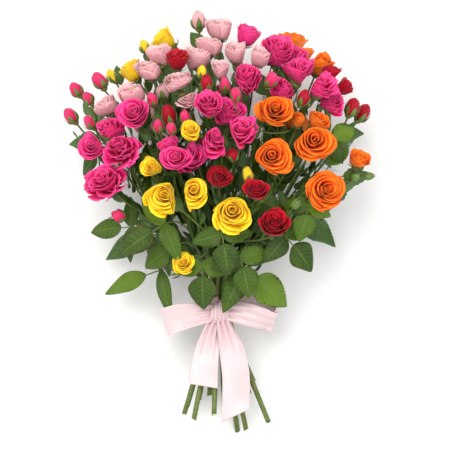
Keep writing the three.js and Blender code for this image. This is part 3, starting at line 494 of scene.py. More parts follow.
def leaf_place(at, x, y):
    """A point of the blade, x across and y along from where the leaflets meet."""
    droop = -BLADE["sag"] * (x * x + y * y) / at.length
    across = np.multiply.outer(x, at.side)
    return at.meet + np.multiply.outer(y, at.along) + across + np.multiply.outer(droop, at.up)


def leaf_points(spray, leaf, way):
    """Corners that the solid of a leaf has if it takes a way."""
    at = leaf_frame(spray, leaf, way)
    length = at.length
    step = BLADE["step"] * length if leaf.leaflets > 1 else 0
    ends = [(0, length)]
    if leaf.leaflets > 1:
        reach = BLADE["side"] * length
        ends.append((math.sin(BLADE["turn"]) * reach, math.cos(BLADE["turn"]) * reach))
    width, widest = LEAF_SIZE * leaf.width, 0.4  # widest: the share of the end leaflet where it is so wide
    ends += [(sign * 0.5 * width, step + widest * (length - step)) for sign in (1, -1)]
    places = leaf_place(at, np.array([e[0] for e in ends]), np.array([e[1] for e in ends]))
    half_thick = at.up * 0.5
    return np.concatenate([places + half_thick, places - half_thick])


trees = {name: solid_tree(name) for name in sprays}
for s in sprays.values():
    s.stalks, s.leaves = [], []
    for f in s.own:
        found = best_way(trees[s.name], STALK_WAYS, functools.partial(stalk_points, s, f))
        s.stalks.append((f, stalk_curve(s, f, found)))
for leaf in itertools.starmap(Leaf, LEAVES):
    s = sprays[leaf.stem]
    found = best_way(trees[s.name], LEAF_WAYS, functools.partial(leaf_points, s, leaf))
    s.leaves.append((leaf, leaf_frame(s, leaf, found)))


# ---- Meshes ----
# What the materials read at each corner: how far along and across its petal, leaf or strip it is, how far
# out its petal stands, two numbers that differ from part to part (on the ribbon the second is painted shade
# in its folds and creases), and whether it is on the under side.
VALUES = ("rim", "side", "layer", "tone", "wear", "under")
LOWEST = 0.0003  # where pieces flatten on the floor, in metres
OVER_FLOOR = {"petal": 0.6, "thorn": 0.6, "stalk": 0.2, "leaf": 0.5}  # where the middles of these are held


def in_scene(name, data):
    """A new object of a mesh, a lamp or a camera."""
    made = bpy.data.objects.new(name, data)
    bpy.context.scene.collection.objects.link(made)
    return made


class Shape:
    """The corners and faces of one piece, with what its materials read at each corner."""

    def __init__(self):
        self.points, self.quads, self.kinds = [], [], []
        self.values = {name: [] for name in VALUES}
        self.count = 0

    def add(self, points, quads, kind=0, **values):
        """Points in the layout, faces of four corners (the last repeated in a triangle), and values."""
        points = np.asarray(points, float).reshape(-1, 3)
        self.points.append(points)
        self.quads.append(np.asarray(quads, int) + self.count)
        self.kinds.append(np.full(len(quads), kind))
        for name in VALUES:
            value = values.get(name, 0.0)
            self.values[name].append(np.broadcast_to(np.asarray(value, float).reshape(-1), (len(points),)))
        self.count += len(points)

    def make(self, name, materials):
        """The mesh object of all that was added."""
        points = kept_over((np.concatenate(self.points) - SHIFT) / MM, LOWEST, 0.05)
        quads = np.concatenate(self.quads)
        kinds = np.concatenate(self.kinds)
        # A triangle's repeated corner is left out.
        three = quads[:, 2] == quads[:, 3]
        sizes = np.where(three, 3, 4)
        loops = quads.reshape(-1)[np.stack([np.ones(len(quads), bool)] * 3 + [~three], 1).reshape(-1)]
        mesh = bpy.data.meshes.new(name)
        mesh.vertices.add(len(points))
        mesh.vertices.foreach_set("co", points.reshape(-1).astype(np.float32))
        mesh.loops.add(len(loops))
        mesh.loops.foreach_set("vertex_index", loops.astype(np.int32))
        mesh.polygons.add(len(quads))
        starts = np.concatenate([[0], np.cumsum(sizes)[:-1]])
        mesh.polygons.foreach_set("loop_start", starts.astype(np.int32))
        mesh.polygons.foreach_set("material_index", kinds.astype(np.int32))
        mesh.polygons.foreach_set("use_smooth", np.ones(len(quads), bool))
        for value, parts in self.values.items():
            layer = mesh.attributes.new(value, "FLOAT", "POINT")
            layer.data.foreach_set("value", np.concatenate(parts).astype(np.float32))
        mesh.update(calc_edges=True)
        for material in materials:
            mesh.materials.append(material)
        return in_scene(name, mesh)


def shell_quads(rows, cols):
    """The faces of a closed blade from an upper and a lower grid of rows by cols points."""
    i, j = np.meshgrid(np.arange(rows - 1), np.arange(cols - 1), indexing="ij")
    a = (i * cols + j).reshape(-1)
    upper = np.stack([a, a + 1, a + cols + 1, a + cols], 1)
    n = rows * cols
    lower = upper[:, ::-1] + n
    sides = ((0, cols - 1, 1), (cols - 1, n - 1, cols), (n - 1, n - cols, -1), (n - cols, 0, -cols))
    edge = np.concatenate([np.arange(*side) for side in sides])
    after = np.roll(edge, -1)
    rim = np.stack([edge, edge + n, after + n, after], 1)
    return np.concatenate([upper, lower, rim])


def grid_normals(grid):
    """The way out of a grid's surface at each of its points."""
    down = np.gradient(grid, axis=0)
    along = np.gradient(grid, axis=1)
    normal = np.cross(along, down)
    return normal / np.maximum(np.linalg.norm(normal, axis=2, keepdims=True), 1e-9)


def add_blade(shape, grid, thickness, kind=0, **values):
    """A closed blade about a grid of points, thickness a number or a grid of them."""
    rows, cols = grid.shape[:2]
    half = grid_normals(grid) * (np.broadcast_to(thickness, (rows, cols)) / 2)[..., None]
    doubled = {
        name: np.concatenate([np.broadcast_to(v, (rows, cols)).reshape(-1)] * 2) for name, v in values.items()
    }
    doubled["under"] = np.repeat([0.0, 1.0], rows * cols)
    points = np.concatenate([(grid + half).reshape(-1, 3), (grid - half).reshape(-1, 3)])
    shape.add(points, shell_quads(rows, cols), kind, **doubled)


def add_rings(shape, rings, kind=0, **values):
    """A closed solid through rings of points, with each end drawn together."""
    rings = np.asarray(rings)
    count, sides = rings.shape[:2]
    i, j = np.meshgrid(np.arange(count - 1), np.arange(sides), indexing="ij")
    here, there = i * sides, (i + 1) * sides
    after = (j + 1) % sides
    walls = np.stack([here + j, here + after, there + after, there + j], -1).reshape(-1, 4)
    centre = count * sides
    k = np.arange(sides)
    last, after = centre - sides + k, centre - sides + (k + 1) % sides
    first_end = np.stack([np.full(sides, centre), (k + 1) % sides, k, k], 1)
    last_end = np.stack([np.full(sides, centre + 1), last, after, after], 1)
    points = np.concatenate([rings.reshape(-1, 3), rings[0].mean(0)[None], rings[-1].mean(0)[None]])
    spread = {}
    for name, value in values.items():
        each = np.repeat(np.broadcast_to(value, (count,)), sides)
        spread[name] = np.concatenate([each, [each[0], each[-1]]])
    shape.add(points, np.concatenate([walls, first_end, last_end]), kind, **spread)


ROUND = 6.28  # a turn, for what is drawn from a seed


def wave(seed, count=1):
    """Numbers between 0 and 1 that depend on the seed alone."""
    return np.random.default_rng(int(seed)).random(count)


# ---- Petals ----
# Each layer from the outside in: how many petals, the path from the base to the tip of a petal as four
# places (radius, height), half its width, the radius that it is curved to, how far its edge rolls back.
BLOOMS = {
    "open": [
        (5, (0.12, -0.66), (0.62, -0.60), (0.82, -0.06), (0.89, 0.04), 0.76, 1.05, 0.11),
        (5, (0.12, -0.62), (0.55, -0.50), (0.72, 0.08), (0.78, 0.22), 0.70, 0.86, 0.11),
        (4, (0.10, -0.58), (0.45, -0.42), (0.58, 0.20), (0.62, 0.38), 0.66, 0.66, 0.10),
        (4, (0.10, -0.52), (0.33, -0.34), (0.43, 0.28), (0.46, 0.47), 0.56, 0.46, 0.08),
        (3, (0.08, -0.48), (0.21, -0.28), (0.28, 0.30), (0.30, 0.51), 0.46, 0.30, 0.05),
        (3, (0.05, -0.42), (0.12, -0.20), (0.15, 0.30), (0.16, 0.50), 0.32, 0.16, 0.03),
        (2, (0.02, -0.36), (0.06, -0.14), (0.07, 0.28), (0.06, 0.46), 0.18, 0.07, 0.00),
    ],
    "ruffle": [
        (6, (0.12, -0.74), (0.66, -0.66), (0.94, -0.10), (1.03, 0.06), 0.66, 1.00, 0.15),
        (6, (0.12, -0.70), (0.60, -0.56), (0.86, 0.06), (0.93, 0.27), 0.60, 0.80, 0.14),
        (6, (0.12, -0.66), (0.52, -0.46), (0.73, 0.20), (0.79, 0.44), 0.56, 0.66, 0.13),
        (6, (0.10, -0.60), (0.42, -0.38), (0.57, 0.30), (0.61, 0.56), 0.52, 0.50, 0.12),
        (5, (0.08, -0.54), (0.30, -0.30), (0.41, 0.36), (0.43, 0.64), 0.46, 0.36, 0.10),
        (5, (0.06, -0.48), (0.18, -0.24), (0.24, 0.38), (0.26, 0.68), 0.36, 0.24, 0.08),
        (3, (0.04, -0.40), (0.08, -0.18), (0.10, 0.38), (0.10, 0.66), 0.24, 0.12, 0.04),
    ],
    "cup": [
        (5, (0.12, -0.82), (0.86, -0.80), (1.02, 0.06), (0.92, 0.50), 0.74, 0.95, 0.09),
        (5, (0.12, -0.76), (0.72, -0.66), (0.86, 0.10), (0.78, 0.60), 0.66, 0.78, 0.07),
        (5, (0.10, -0.70), (0.60, -0.54), (0.70, 0.16), (0.62, 0.62), 0.58, 0.62, 0.06),
        (4, (0.10, -0.62), (0.46, -0.44), (0.54, 0.20), (0.47, 0.60), 0.52, 0.47, 0.05),
        (4, (0.08, -0.56), (0.34, -0.36), (0.38, 0.22), (0.33, 0.58), 0.42, 0.33, 0.04),
        (3, (0.06, -0.50), (0.22, -0.30), (0.24, 0.24), (0.20, 0.55), 0.32, 0.20, 0.02),
        (2, (0.04, -0.46), (0.12, -0.24), (0.12, 0.24), (0.09, 0.52), 0.20, 0.10, 0.01),
    ],
    "half": [
        (4, (0.10, -0.88), (0.66, -0.80), (0.84, 0.06), (0.96, 0.44), 0.72, 0.80, 0.12),
        (4, (0.10, -0.84), (0.56, -0.70), (0.68, 0.10), (0.74, 0.56), 0.66, 0.64, 0.10),
        (4, (0.08, -0.78), (0.46, -0.60), (0.54, 0.16), (0.56, 0.60), 0.58, 0.50, 0.07),
        (3, (0.08, -0.72), (0.36, -0.52), (0.40, 0.20), (0.40, 0.62), 0.52, 0.37, 0.05),
        (3, (0.06, -0.66), (0.24, -0.44), (0.28, 0.22), (0.26, 0.62), 0.42, 0.25, 0.03),
        (2, (0.04, -0.60), (0.14, -0.36), (0.15, 0.24), (0.13, 0.60), 0.30, 0.13, 0.01),
    ],
    "bud": [
        (3, (0.10, -0.76), (0.78, -0.74), (0.86, 0.30), (0.26, 1.02), 0.92, 0.70, 0.03),
        (3, (0.10, -0.70), (0.66, -0.62), (0.72, 0.34), (0.16, 1.08), 0.80, 0.56, 0.02),
        (3, (0.08, -0.60), (0.46, -0.50), (0.50, 0.40), (0.08, 1.10), 0.60, 0.36, 0.00),
    ],
}
RUFFLES = {"open": 0.014, "ruffle": 0.060, "cup": 0.020, "half": 0.018, "bud": 0.006}
# How unevenly petals stand: by a share of a turn, by radius and by height, and turned on themselves.
UNEVEN = {
    "open": (0.35, 0.045, 0.04, 0.20),
    "ruffle": (1.00, 0.090, 0.09, 0.60),
    "cup": (0.35, 0.030, 0.05, 0.16),
    "half": (0.30, 0.030, 0.04, 0.12),
    "bud": (0.10, 0.000, 0.00, 0.00),
}
EVEN = np.zeros(3)
GOLDEN_TURN = 2.4  # from each layer to the next
OVERLAP = 0.055  # how far one edge of a petal stands outside its neighbour, in radii
PETAL_THICKNESS = 0.42
SPREAD = {"pink": 1.13, "blush": 1.06}  # how much wider the petals of a colour spread than its solids
OUTER_LAYERS = 4  # the layers with the finer grids
OUTER_GRID, BUD_GRID, INNER_GRID, SEPAL_GRID = (8, 11), (8, 9), (7, 7), (7, 5)
PETAL_SQUEEZE, HIP_SQUEEZE = (0.35, 2), (0.45, 1)  # from what share of a plane's distance, and how often


def petal_outline(rows, cols, pointed):
    """Places on a petal: across from -1 to 1, along from 0 to the rounded rim, and its width there."""
    drop, notch, widest, shoulder = 0.26, 0.03, 0.72, 0.22
    u = np.linspace(-1, 1, cols)[None, :].repeat(rows, 0)
    t = (np.linspace(0, 1, rows) ** 0.9)[:, None]
    along = t * (1 - drop * np.abs(u) ** 2.6 + notch * np.exp(-((u / 0.2) ** 2)))
    round_width = 0.30 + 0.70 * np.sin(np.clip(along / widest, 0, 1) * math.pi / 2)
    round_width = round_width * (1 - shoulder * np.clip((along - widest) / 0.28, 0, 1) ** 2)
    point_width = np.sin(np.clip(along, 0, 1) ** 0.7 * math.pi) ** 0.8 * 0.98 + 0.02
    return u, along, round_width * (1 - pointed) + point_width * pointed


def add_petal(shape, flower, angle, layer, seed, size, ruffle, kind=0, depth=1.0, pointed=0.0, uneven=EVEN):
    """One petal at an angle round its flower, bent, rolled back at its rim and squeezed by neighbours."""
    _, *path, half_width, curve, roll = layer
    r1, r2, r3, r4, r5, r6 = wave(seed, 6)
    moved, raised, turned_by = uneven * (2 * wave(seed + 31, 3) - 1)
    loose = uneven.any()
    spread = SPREAD.get(flower.family, 1) if loose else 1
    u, along, width = petal_outline(*size, pointed)
    rim = np.clip((along - 0.70) / 0.30, 0, 1)  # the part that rolls back
    tip = (along - 0.5).clip(0) ** 2  # the part that ripples

    # Its middle line, which rolls back at the rim, and its curve round the flower.
    middle = cubic(np.array(path), np.clip(along, 0, 1.03))
    radius, height = middle[..., 0] * spread, middle[..., 1].copy()
    radius += roll * rim**2 * (0.7 + 0.6 * r2)
    height -= roll * 0.55 * rim**3 * (0.6 + 0.8 * r3)
    wide = half_width * width * (0.92 + 0.16 * r1) * spread
    curved = np.maximum(curve, 0.05) * (1 + 0.5 * rim * (roll > 0.05))
    turn = u * wide / curved
    x = radius - curved * (1 - np.cos(turn))
    y = curved * np.sin(turn)

    # Its edges turn outwards, its rim ripples, and one side stands outside its neighbour.
    sides = np.abs(u).clip(0.55) - 0.55
    x = x + roll * 2.2 * sides**2 * (0.4 + along) * (along > 0.25)
    ripple = np.sin(u * (4.0 + 3 * r4) * math.pi + ROUND * r5) + 0.6 * np.sin(u * 11.0 + ROUND * r6)
    x = x + ruffle * ripple * tip * 3 + (OVERLAP * u * (0.3 + along) if loose else 0)
    height = height + ruffle * np.cos(u * (5 + 2 * r5) * math.pi + ROUND * r4) * tip * 3
    height = height + (0.03 * (r6 - 0.5) + raised) * along

    # It turns on itself and takes its place round the flower, inside its neighbours' planes.
    aside = x - radius[:, size[1] // 2][:, None]
    c, s = math.cos(turned_by), math.sin(turned_by)
    x, y = x - aside * (1 - c) - y * s + moved * along, aside * s + y * c
    c, s = math.cos(angle), math.sin(angle)
    grid = in_flower(flower, x * c - y * s, x * s + y * c, height)
    grid = squeezed(flower, grid, flower.planes + flower.own_planes, *PETAL_SQUEEZE)
    grid = kept_over(grid, FLOOR + OVER_FLOOR["petal"], 0.02)
    values = {"rim": np.clip(along, 0, 1), "side": np.abs(u), "layer": depth, "tone": r2, "wear": r5}
    add_blade(shape, grid, PETAL_THICKNESS * (1 - 0.5 * rim), kind, **values)


def add_bloom(shape, flower):
    """All the petals of a rose or a bud."""
    layers = BLOOMS[flower.form]
    turn, *uneven = UNEVEN[flower.form]
    start = wave(flower.index + 500)[0] * ROUND
    for k, layer in enumerate(layers):
        count = layer[0]
        outer = OUTER_GRID if flower.node else BUD_GRID
        look = {
            "size": outer if k < OUTER_LAYERS else INNER_GRID,
            "ruffle": RUFFLES[flower.form],
            "depth": 1 - k / (len(layers) - 1),
            "uneven": np.array(uneven),
        }
        for j in range(count):
            seed = flower.index * 1000 + k * 50 + j
            place = j + turn * (wave(seed + 7)[0] - 0.5)
            angle = start + k * GOLDEN_TURN + 2 * math.pi * place / count
            add_petal(shape, flower, angle, layer, seed, **look)


# ---- Stems, stalks, hips and sepals ----
STEM_KIND, CUT_KIND, SEPAL_KIND = 0, 1, 2
STEM_SIDES, STALK_SIDES = 12, 8
LOWER_STEPS, UPPER_STEPS, STALK_STEPS = 26, 34, 16
SIDE_WANTED = FRONT + AXIS_X * 0.37
FOOT_SWELL = 0.5  # how much thicker a stem's foot is
FOOT_STEPS, FADE_STEPS = 14, 10  # at which step of the stem this has ended, and over how many it fades
SLANT = 0.9  # of the cut end
CUT_SIZE, CUT_OUT = 0.97, 0.06  # the pale cut face: its share of the stem, and how far it stands out
PITH_SIZE, PITH_IN = 0.90, 0.5  # and the same of its back, inside the stem
JOINT_LEAST, JOINT_MORE, JOINT_LENGTH = 26, 22, 2.4


def add_stem(shape, spray, seed):
    """The main stem with its joints and thorns, and its slanted pale cut end."""
    lower = quadratic(spray.lower, np.linspace(0, 1, LOWER_STEPS))
    upper = cubic(spray.upper, np.linspace(0, 1, UPPER_STEPS))
    path = np.concatenate([lower, upper])
    run = np.concatenate([[0], np.cumsum(np.linalg.norm(np.diff(path, axis=0), axis=1))])
    step = np.arange(len(path))
    share = np.clip((step - LOWER_STEPS) / (UPPER_STEPS - 1), 0, 1)
    radii = STEM_RADIUS + (STEM_TOP_RADIUS - STEM_RADIUS) * share
    radii = radii + FOOT_SWELL * np.clip((FOOT_STEPS - step) / FADE_STEPS, 0, 1)
    joints = np.cumsum(JOINT_LEAST + JOINT_MORE * wave(seed, 12))
    swelling = sum(np.exp(-(((run - j) / JOINT_LENGTH) ** 2)) for j in joints)
    radii = radii * (0.94 + 0.13 * swelling)
    rings = rings_along(path, radii, STEM_SIDES, SIDE_WANTED)
    slant = wave(seed + 1)[0] * ROUND
    first = rings[0] - path[0]
    along = unit(path[1] - path[0])
    lean = np.cos(2 * math.pi * np.arange(STEM_SIDES) / STEM_SIDES + slant)
    rings[0] = path[0] + first + np.outer(lean + 1, along) * SLANT
    add_rings(shape, rings, STEM_KIND, rim=share, tone=np.clip(swelling, 0, 1), wear=wave(seed + 2)[0])
    cap = path[0] + (rings[0] - path[0]) * CUT_SIZE - along * CUT_OUT
    inner = path[0] + (rings[0] - path[0]) * PITH_SIZE + along * PITH_IN
    add_rings(shape, np.array([cap, inner]), CUT_KIND)
    add_thorns(shape, path, radii, joints, run, seed)


THORN_RADII = [1.0, 0.62, 0.3, 0.06]  # from its foot to its tip


def add_thorns(shape, path, radii, joints, run, seed, clear=24, length=2.3, hook=1.3):
    """A small hooked thorn by each of the stem's joints that is clear of the binding and its ends."""
    steps = np.array([0.0, 0.35, 0.7, 1.0])
    for k, place in enumerate(joints):
        i = int(np.searchsorted(run, place))
        if not 2 < i < len(path) - 3 or abs(path[i] @ UP_BUNCH - TIE_Y) < clear:
            continue
        along = unit(path[i + 1] - path[i - 1])
        out = turned(square_to(along, SIDE_WANTED), along, ROUND * wave(seed + 31 * k)[0])
        middle = path[i] + np.outer(radii[i] * 0.8 + steps * length, out) - np.outer(steps**2 * hook, along)
        middle = kept_over(middle, FLOOR + OVER_FLOOR["thorn"])
        rings = rings_along(middle, THORN_RADII, 6, along)
        add_rings(shape, rings, STEM_KIND, rim=steps, tone=1.0, wear=0.9)


# A hip's heights over its flower's seat and its radii there, both in the flower's radii.
HIP = ((-0.30, 0.15), (-0.20, 0.24), (-0.08, 0.31), (0.04, 0.33), (0.12, 0.22))
BUD_HIP = 1.25  # how much wider a bud's is


def add_stalk(shape, flower, curve, seed):
    """A flower's stalk and the swollen hip under its petals."""
    seat, radius = SEAT[flower.form], flower.radius
    swell = 1 if flower.node else BUD_HIP
    hip = [flower.at + flower.facing * radius * (seat + height) for height, _ in HIP]
    path = np.concatenate([quadratic(curve, np.linspace(0, 1, STALK_STEPS)), np.array(hip)])
    radii = np.concatenate([np.linspace(1.12, 0.98, STALK_STEPS), [r * swell * radius for _, r in HIP]])
    rings = rings_along(path, radii, STALK_SIDES, flower.across)
    rings = kept_over(squeezed(flower, rings, flower.planes, *HIP_SQUEEZE), FLOOR + OVER_FLOOR["stalk"])
    add_rings(shape, rings, STEM_KIND, rim=1.0, tone=np.linspace(0, 1, len(path)), wear=wave(seed)[0])


# Sepals are petals of one layer; an open rose's lie from its seat.
OPEN_SEPAL = (5, (0.20, -0.02), (0.44, -0.06), (0.66, 0.02), (0.80, 0.16), 0.20, 0.5, 0.02)
BUD_SEPAL = (5, (0.34, -0.78), (0.84, -0.62), (0.90, 0.00), (0.74, 0.50), 0.30, 0.55, 0.05)
CLOSED_SEPAL = (5, (0.34, -0.80), (0.92, -0.60), (0.86, 0.50), (0.12, 1.16), 0.50, 0.55, 0.00)


def add_sepals(shape, flower):
    """Five pointed sepals, spread under an open rose and clasping a bud."""
    layer = {"bud": BUD_SEPAL, "green_bud": CLOSED_SEPAL}.get(flower.form)
    if layer is None:
        seat = SEAT[flower.form]
        lifted = [(r, h * 1.5 + seat) for r, h in OPEN_SEPAL[1:5]]
        layer = (5, *lifted, *OPEN_SEPAL[5:])
    count = layer[0]
    start = wave(flower.index + 900)[0] * ROUND
    for j in range(count):
        seed = flower.index * 1000 + 800 + j
        angle = start + 2 * math.pi * j / count
        add_petal(shape, flower, angle, layer, seed, SEPAL_GRID, 0.004, SEPAL_KIND, pointed=1.0)


# ---- Leaves ----
LEAF_KIND, RIB_KIND = 0, 1
RIB_LENGTH, RIB_RADIUS, RIB_TAPER, RIB_DEPTH = 0.86, 0.62, 0.85, 0.30  # the length in leaflets
LEAF_STALK_RADII = (1.0, 0.66)  # from the stem to the leaflets
LEAF_GRID, SMALL_GRID = (37, 9), (13, 5)
LEAF_THICKNESS = 0.62
TOOTH, TOOTH_BACK = 0.085, 0.045  # how deep the teeth are cut, and how far they lean
VEINS, VEIN_LEAN = 8.0, 1.5  # how many side veins, and how far each runs forward to the edge


def leaflet_grid(at, start, turn, length, width, seed, size=LEAF_GRID):
    """One leaflet: toothed, folded a little along its rib, puckered between its side veins."""
    rows, cols = size
    r1, r2, r3, r4 = wave(seed, 4)
    t = np.linspace(0, 1, rows)[:, None]
    u = np.linspace(-1, 1, cols)[None, :]
    body = np.sin(math.pi * np.clip(t, 0, 1) ** 0.80) ** 0.78 * (1 - 0.22 * t**2)
    odd = (np.arange(rows) % 2)[:, None]
    teeth = 1 - TOOTH * odd * (t > 0.08) * (t < 0.97)
    half = width * 0.52 * (body * teeth + 0.012)
    across = u * half
    back = TOOTH_BACK * length * odd * (np.abs(u) > 0.95) * body
    forward = t * length - back
    rise = np.abs(across) * (0.16 + 0.12 * r1)
    veins = t * VEINS - np.abs(u) * VEIN_LEAN
    rise = rise + 0.020 * width * np.cos(2 * math.pi * veins) * np.sin(math.pi * np.abs(u).clip(0, 1)) * body
    rise = rise + 0.05 * width * np.sin(3.2 * math.pi * t + ROUND * r2 + u) * np.abs(u) ** 2
    rise = rise - (0.10 + 0.10 * r3) * length * t**3
    rise = rise - rise[0, cols // 2]
    twist = (r4 - 0.5) * 0.35 * across * t
    out = (math.sin(turn), math.cos(turn))
    x = out[0] * forward + out[1] * across
    y = start + out[1] * forward - out[0] * across
    return leaf_place(at, x, y) + (rise + twist)[..., None] * at.up, t, u


def add_leaflet(shape, at, start, turn, length, width, seed, size=LEAF_GRID):
    """One leaflet as a blade. Gives the grid that it is made about."""
    grid, t, u = leaflet_grid(at, start, turn, length, width, seed, size)
    values = {"rim": t, "side": u, "tone": wave(seed + 5)[0], "wear": wave(seed + 6)[0]}
    thickness = LEAF_THICKNESS * (1 - 0.35 * np.abs(u))
    over = kept_over(grid.copy(), FLOOR + OVER_FLOOR["leaf"])
    add_blade(shape, over, thickness, LEAF_KIND, **values)
    return grid


BRACT_EVERY, MOST_BRACTS = 9, 6  # the small leaves of a flower's stalk
BRACT_SHARES = (0.10, 0.78)  # where on it they begin and how far they are spread
BRACT_SIZES = (15, 14)  # their least length, and how much more it may be
INNER_LEAVES = 7  # the small leaves of a stem inside the head
INNER_SHARES, INNER_SIZES = (0.34, 0.62), (22, 18)
FLOWER_PLACES = np.array([f.at for f in flowers])
FLOWER_RADII = np.array([f.radius for f in flowers])
FACES_FRONT = np.array([f.facing @ FRONT > 0.3 for f in flowers])
HIDING = 30.0  # how far before a flower a small leaf still counts as hiding it


def room_round(points):
    """How far the nearest flower's petals are from the nearest of some points."""
    apart = np.linalg.norm(points[:, None] - FLOWER_PLACES[None], axis=2) - 0.95 * FLOWER_RADII[None]
    return apart.min()


def hides_a_flower(point):
    """Whether a point stands just before a flower that faces the front."""
    offset = point - FLOWER_PLACES
    ahead = offset @ FRONT
    aside = np.linalg.norm(offset - np.outer(ahead, FRONT), axis=1)
    return bool(np.any((ahead > 0) & (ahead < HIDING) & (aside < FLOWER_RADII) & FACES_FRONT))


def add_small_leaves(shape, curve, shares, count, seed, sizes):
    """The small leaves along a stem or a stalk, spread between two shares of it."""
    first, spread = shares
    for k in range(count):
        share = first + spread * (k + wave(seed + 3 * k)[0]) / count
        place, beyond = curve(share), curve(share + 0.02)
        add_small_leaf(shape, place, unit(beyond - place), seed + 3 * k, *sizes)


def add_small_leaf(shape, place, way, seed, least, more, tries=10, crowded=-1.0):
    """One small leaf on a stem or stalk, turned to where it has room, if there is any."""
    r1, r2, r3, r4 = wave(seed, 4)
    size = least + more * r3
    # Of its turns round the stem it takes the one with the most room at three places along it.
    most = None
    for step in range(tries):
        side = turned(square_to(way, AXIS_X), way, ROUND * (r2 + step / tries))
        wanted = unit(side * 0.9 + way * (0.5 + 0.4 * r1))
        room = room_round(place + np.outer([0.4, 0.7, 1.0], wanted) * size)
        if most is None or room > most:
            most, along = room, wanted
    if most < crowded or hides_a_flower(place + 0.6 * size * along):
        return
    up = square_to(along, FRONT * 0.8 - way)
    at = Blade(place, along, np.cross(along, up), up, size, None)
    add_leaflet(shape, at, 0, 0, size, size * (0.46 + 0.16 * r4), seed + 40, SMALL_GRID)


def add_leaf(shape, leaf, at, seed):
    """A compound leaf: its stalk and rib, and one to three leaflets."""
    length, width = at.length, LEAF_SIZE * leaf.width
    step = BLADE["step"] * length if leaf.leaflets > 1 else 0
    leaflets = [(step, 0, length - step, width)]
    for way in (1, -1)[: leaf.leaflets - 1]:
        leaflets.append((0, way * BLADE["turn"], length * BLADE["side"], width * BLADE["side"]))
    rows, cols = LEAF_GRID
    out = np.linspace(0.0, RIB_LENGTH, 9)
    for k, leaflet in enumerate(leaflets):
        grid = add_leaflet(shape, at, *leaflet, seed * 10 + k)
        rib = grid[:, cols // 2][(out * (rows - 1)).astype(int)] - at.up * RIB_DEPTH
        rings = rings_along(rib, RIB_RADIUS * (1 - RIB_TAPER * out), 6, at.up)
        add_rings(shape, rings, RIB_KIND, rim=out, tone=0.6)
    stalk = quadratic(at.stalk, np.linspace(0, 1, 12))
    if step:
        ys = np.linspace(0.2, 1, 5) * step
        stalk = np.concatenate([stalk, leaf_place(at, 0 * ys, ys)])
    radii = np.linspace(*LEAF_STALK_RADII, len(stalk))
    add_rings(shape, rings_along(stalk, radii, 7, at.up), RIB_KIND, rim=1.0, tone=0.2)


# ---- The binding and the ribbon ----
KNOT_AT, KNOT_HALF = (0, -8, 19), (12, 11, 5)
KNOT_RISE = 4.0  # how much further the knot's front swells
# Each strip of the bow: the places that its middle runs through, its way across, and its share of the width.
BOW = {
    "left_loop": [
        ((2, -8, 21), (0, 1, 0), 0.5), ((-18, -9, 24), (0.15, 1, 0), 0.8),
        ((-40, -13, 27), (-0.3, 1, 0), 1), ((-53, -17, 25), (-0.32, 1, 0), 1.04),
        ((-57, -18, 21), (-0.32, 1, 0), 1.04), ((-53, -17, 17.5), (-0.32, 1, 0), 1),
        ((-38, -13, 16.5), (-0.3, 1, 0), 0.95), ((-16, -9, 17), (0, 1, 0), 0.7),
        ((2, -8, 18), (0, 1, 0), 0.5),
    ],
    "right_loop": [
        ((-2, -8, 21), (0, 1, 0), 0.5), ((16, -8, 25), (0, 1, 0), 0.8),
        ((36, -13, 28), (0.05, 1, 0.3), 0.9), ((50, -17, 26), (0.1, 0.75, 0.6), 0.9),
        ((54, -17, 21), (0.1, 0.75, 0.6), 0.9), ((48, -11, 17), (0.3, 0.9, 0.2), 1),
        ((32, 0, 15.5), (0.45, 0.9, 0), 1), ((14, 1, 16), (0.3, 1, 0), 0.85),
        ((-2, -8, 18), (0, 1, 0), 0.5),
    ],
    "left_tail": [
        ((0, -6, 20), (1, 0, 0), 0.4), ((-7, -24, 20), (1, -0.2, 0.1), 0.6),
        ((-13, -46, 21), (1, -0.15, 0.1), 0.9), ((-16, -66, 24), (1, 0, 0), 1.04),
        ((-16.5, -82.5, 26), (1, -0.17, 0), 1.04),
    ],
    "right_tail": [
        ((0, -6, 21), (1, 0, 0), 0.4), ((5, -24, 23), (1, 0.1, -0.1), 0.62),
        ((12, -46, 24), (1, 0.2, -0.05), 0.95), ((16, -72, 26), (1, 0.1, 0), 1.02),
        ((16, -96, 28), (1, 0.3, 0), 1.02), ((16, -112, 30), (1, 0.5, 0), 1.02),
    ],
}
CLOTH = 0.35  # the ribbon's thickness
SLANTS = {"left_tail": 2.0, "right_tail": -6.5}  # how far the cut end of a tail slants, to each side
STRIP_ROWS, STRIP_COLS = 64, 19
WRAP_ROWS, WRAP_COLS = 49, 9
KNOT_ROWS, KNOT_SIDES = 65, 28


def smooth_through(values, count):
    """A smooth run of count rows through the rows given."""
    values = np.asarray(values, float)
    padded = np.concatenate([2 * values[:1] - values[1:2], values, 2 * values[-1:] - values[-2:-1]])
    at = np.linspace(0, len(values) - 1 - 1e-9, count)
    k = at.astype(int)
    t = (at - k)[:, None]
    a, b, c, d = (padded[k + i] for i in range(4))
    return 0.5 * (2 * b + (c - a) * t + (2 * a - 5 * b + 4 * c - d) * t**2 + (3 * b - a - 3 * c + d) * t**3)


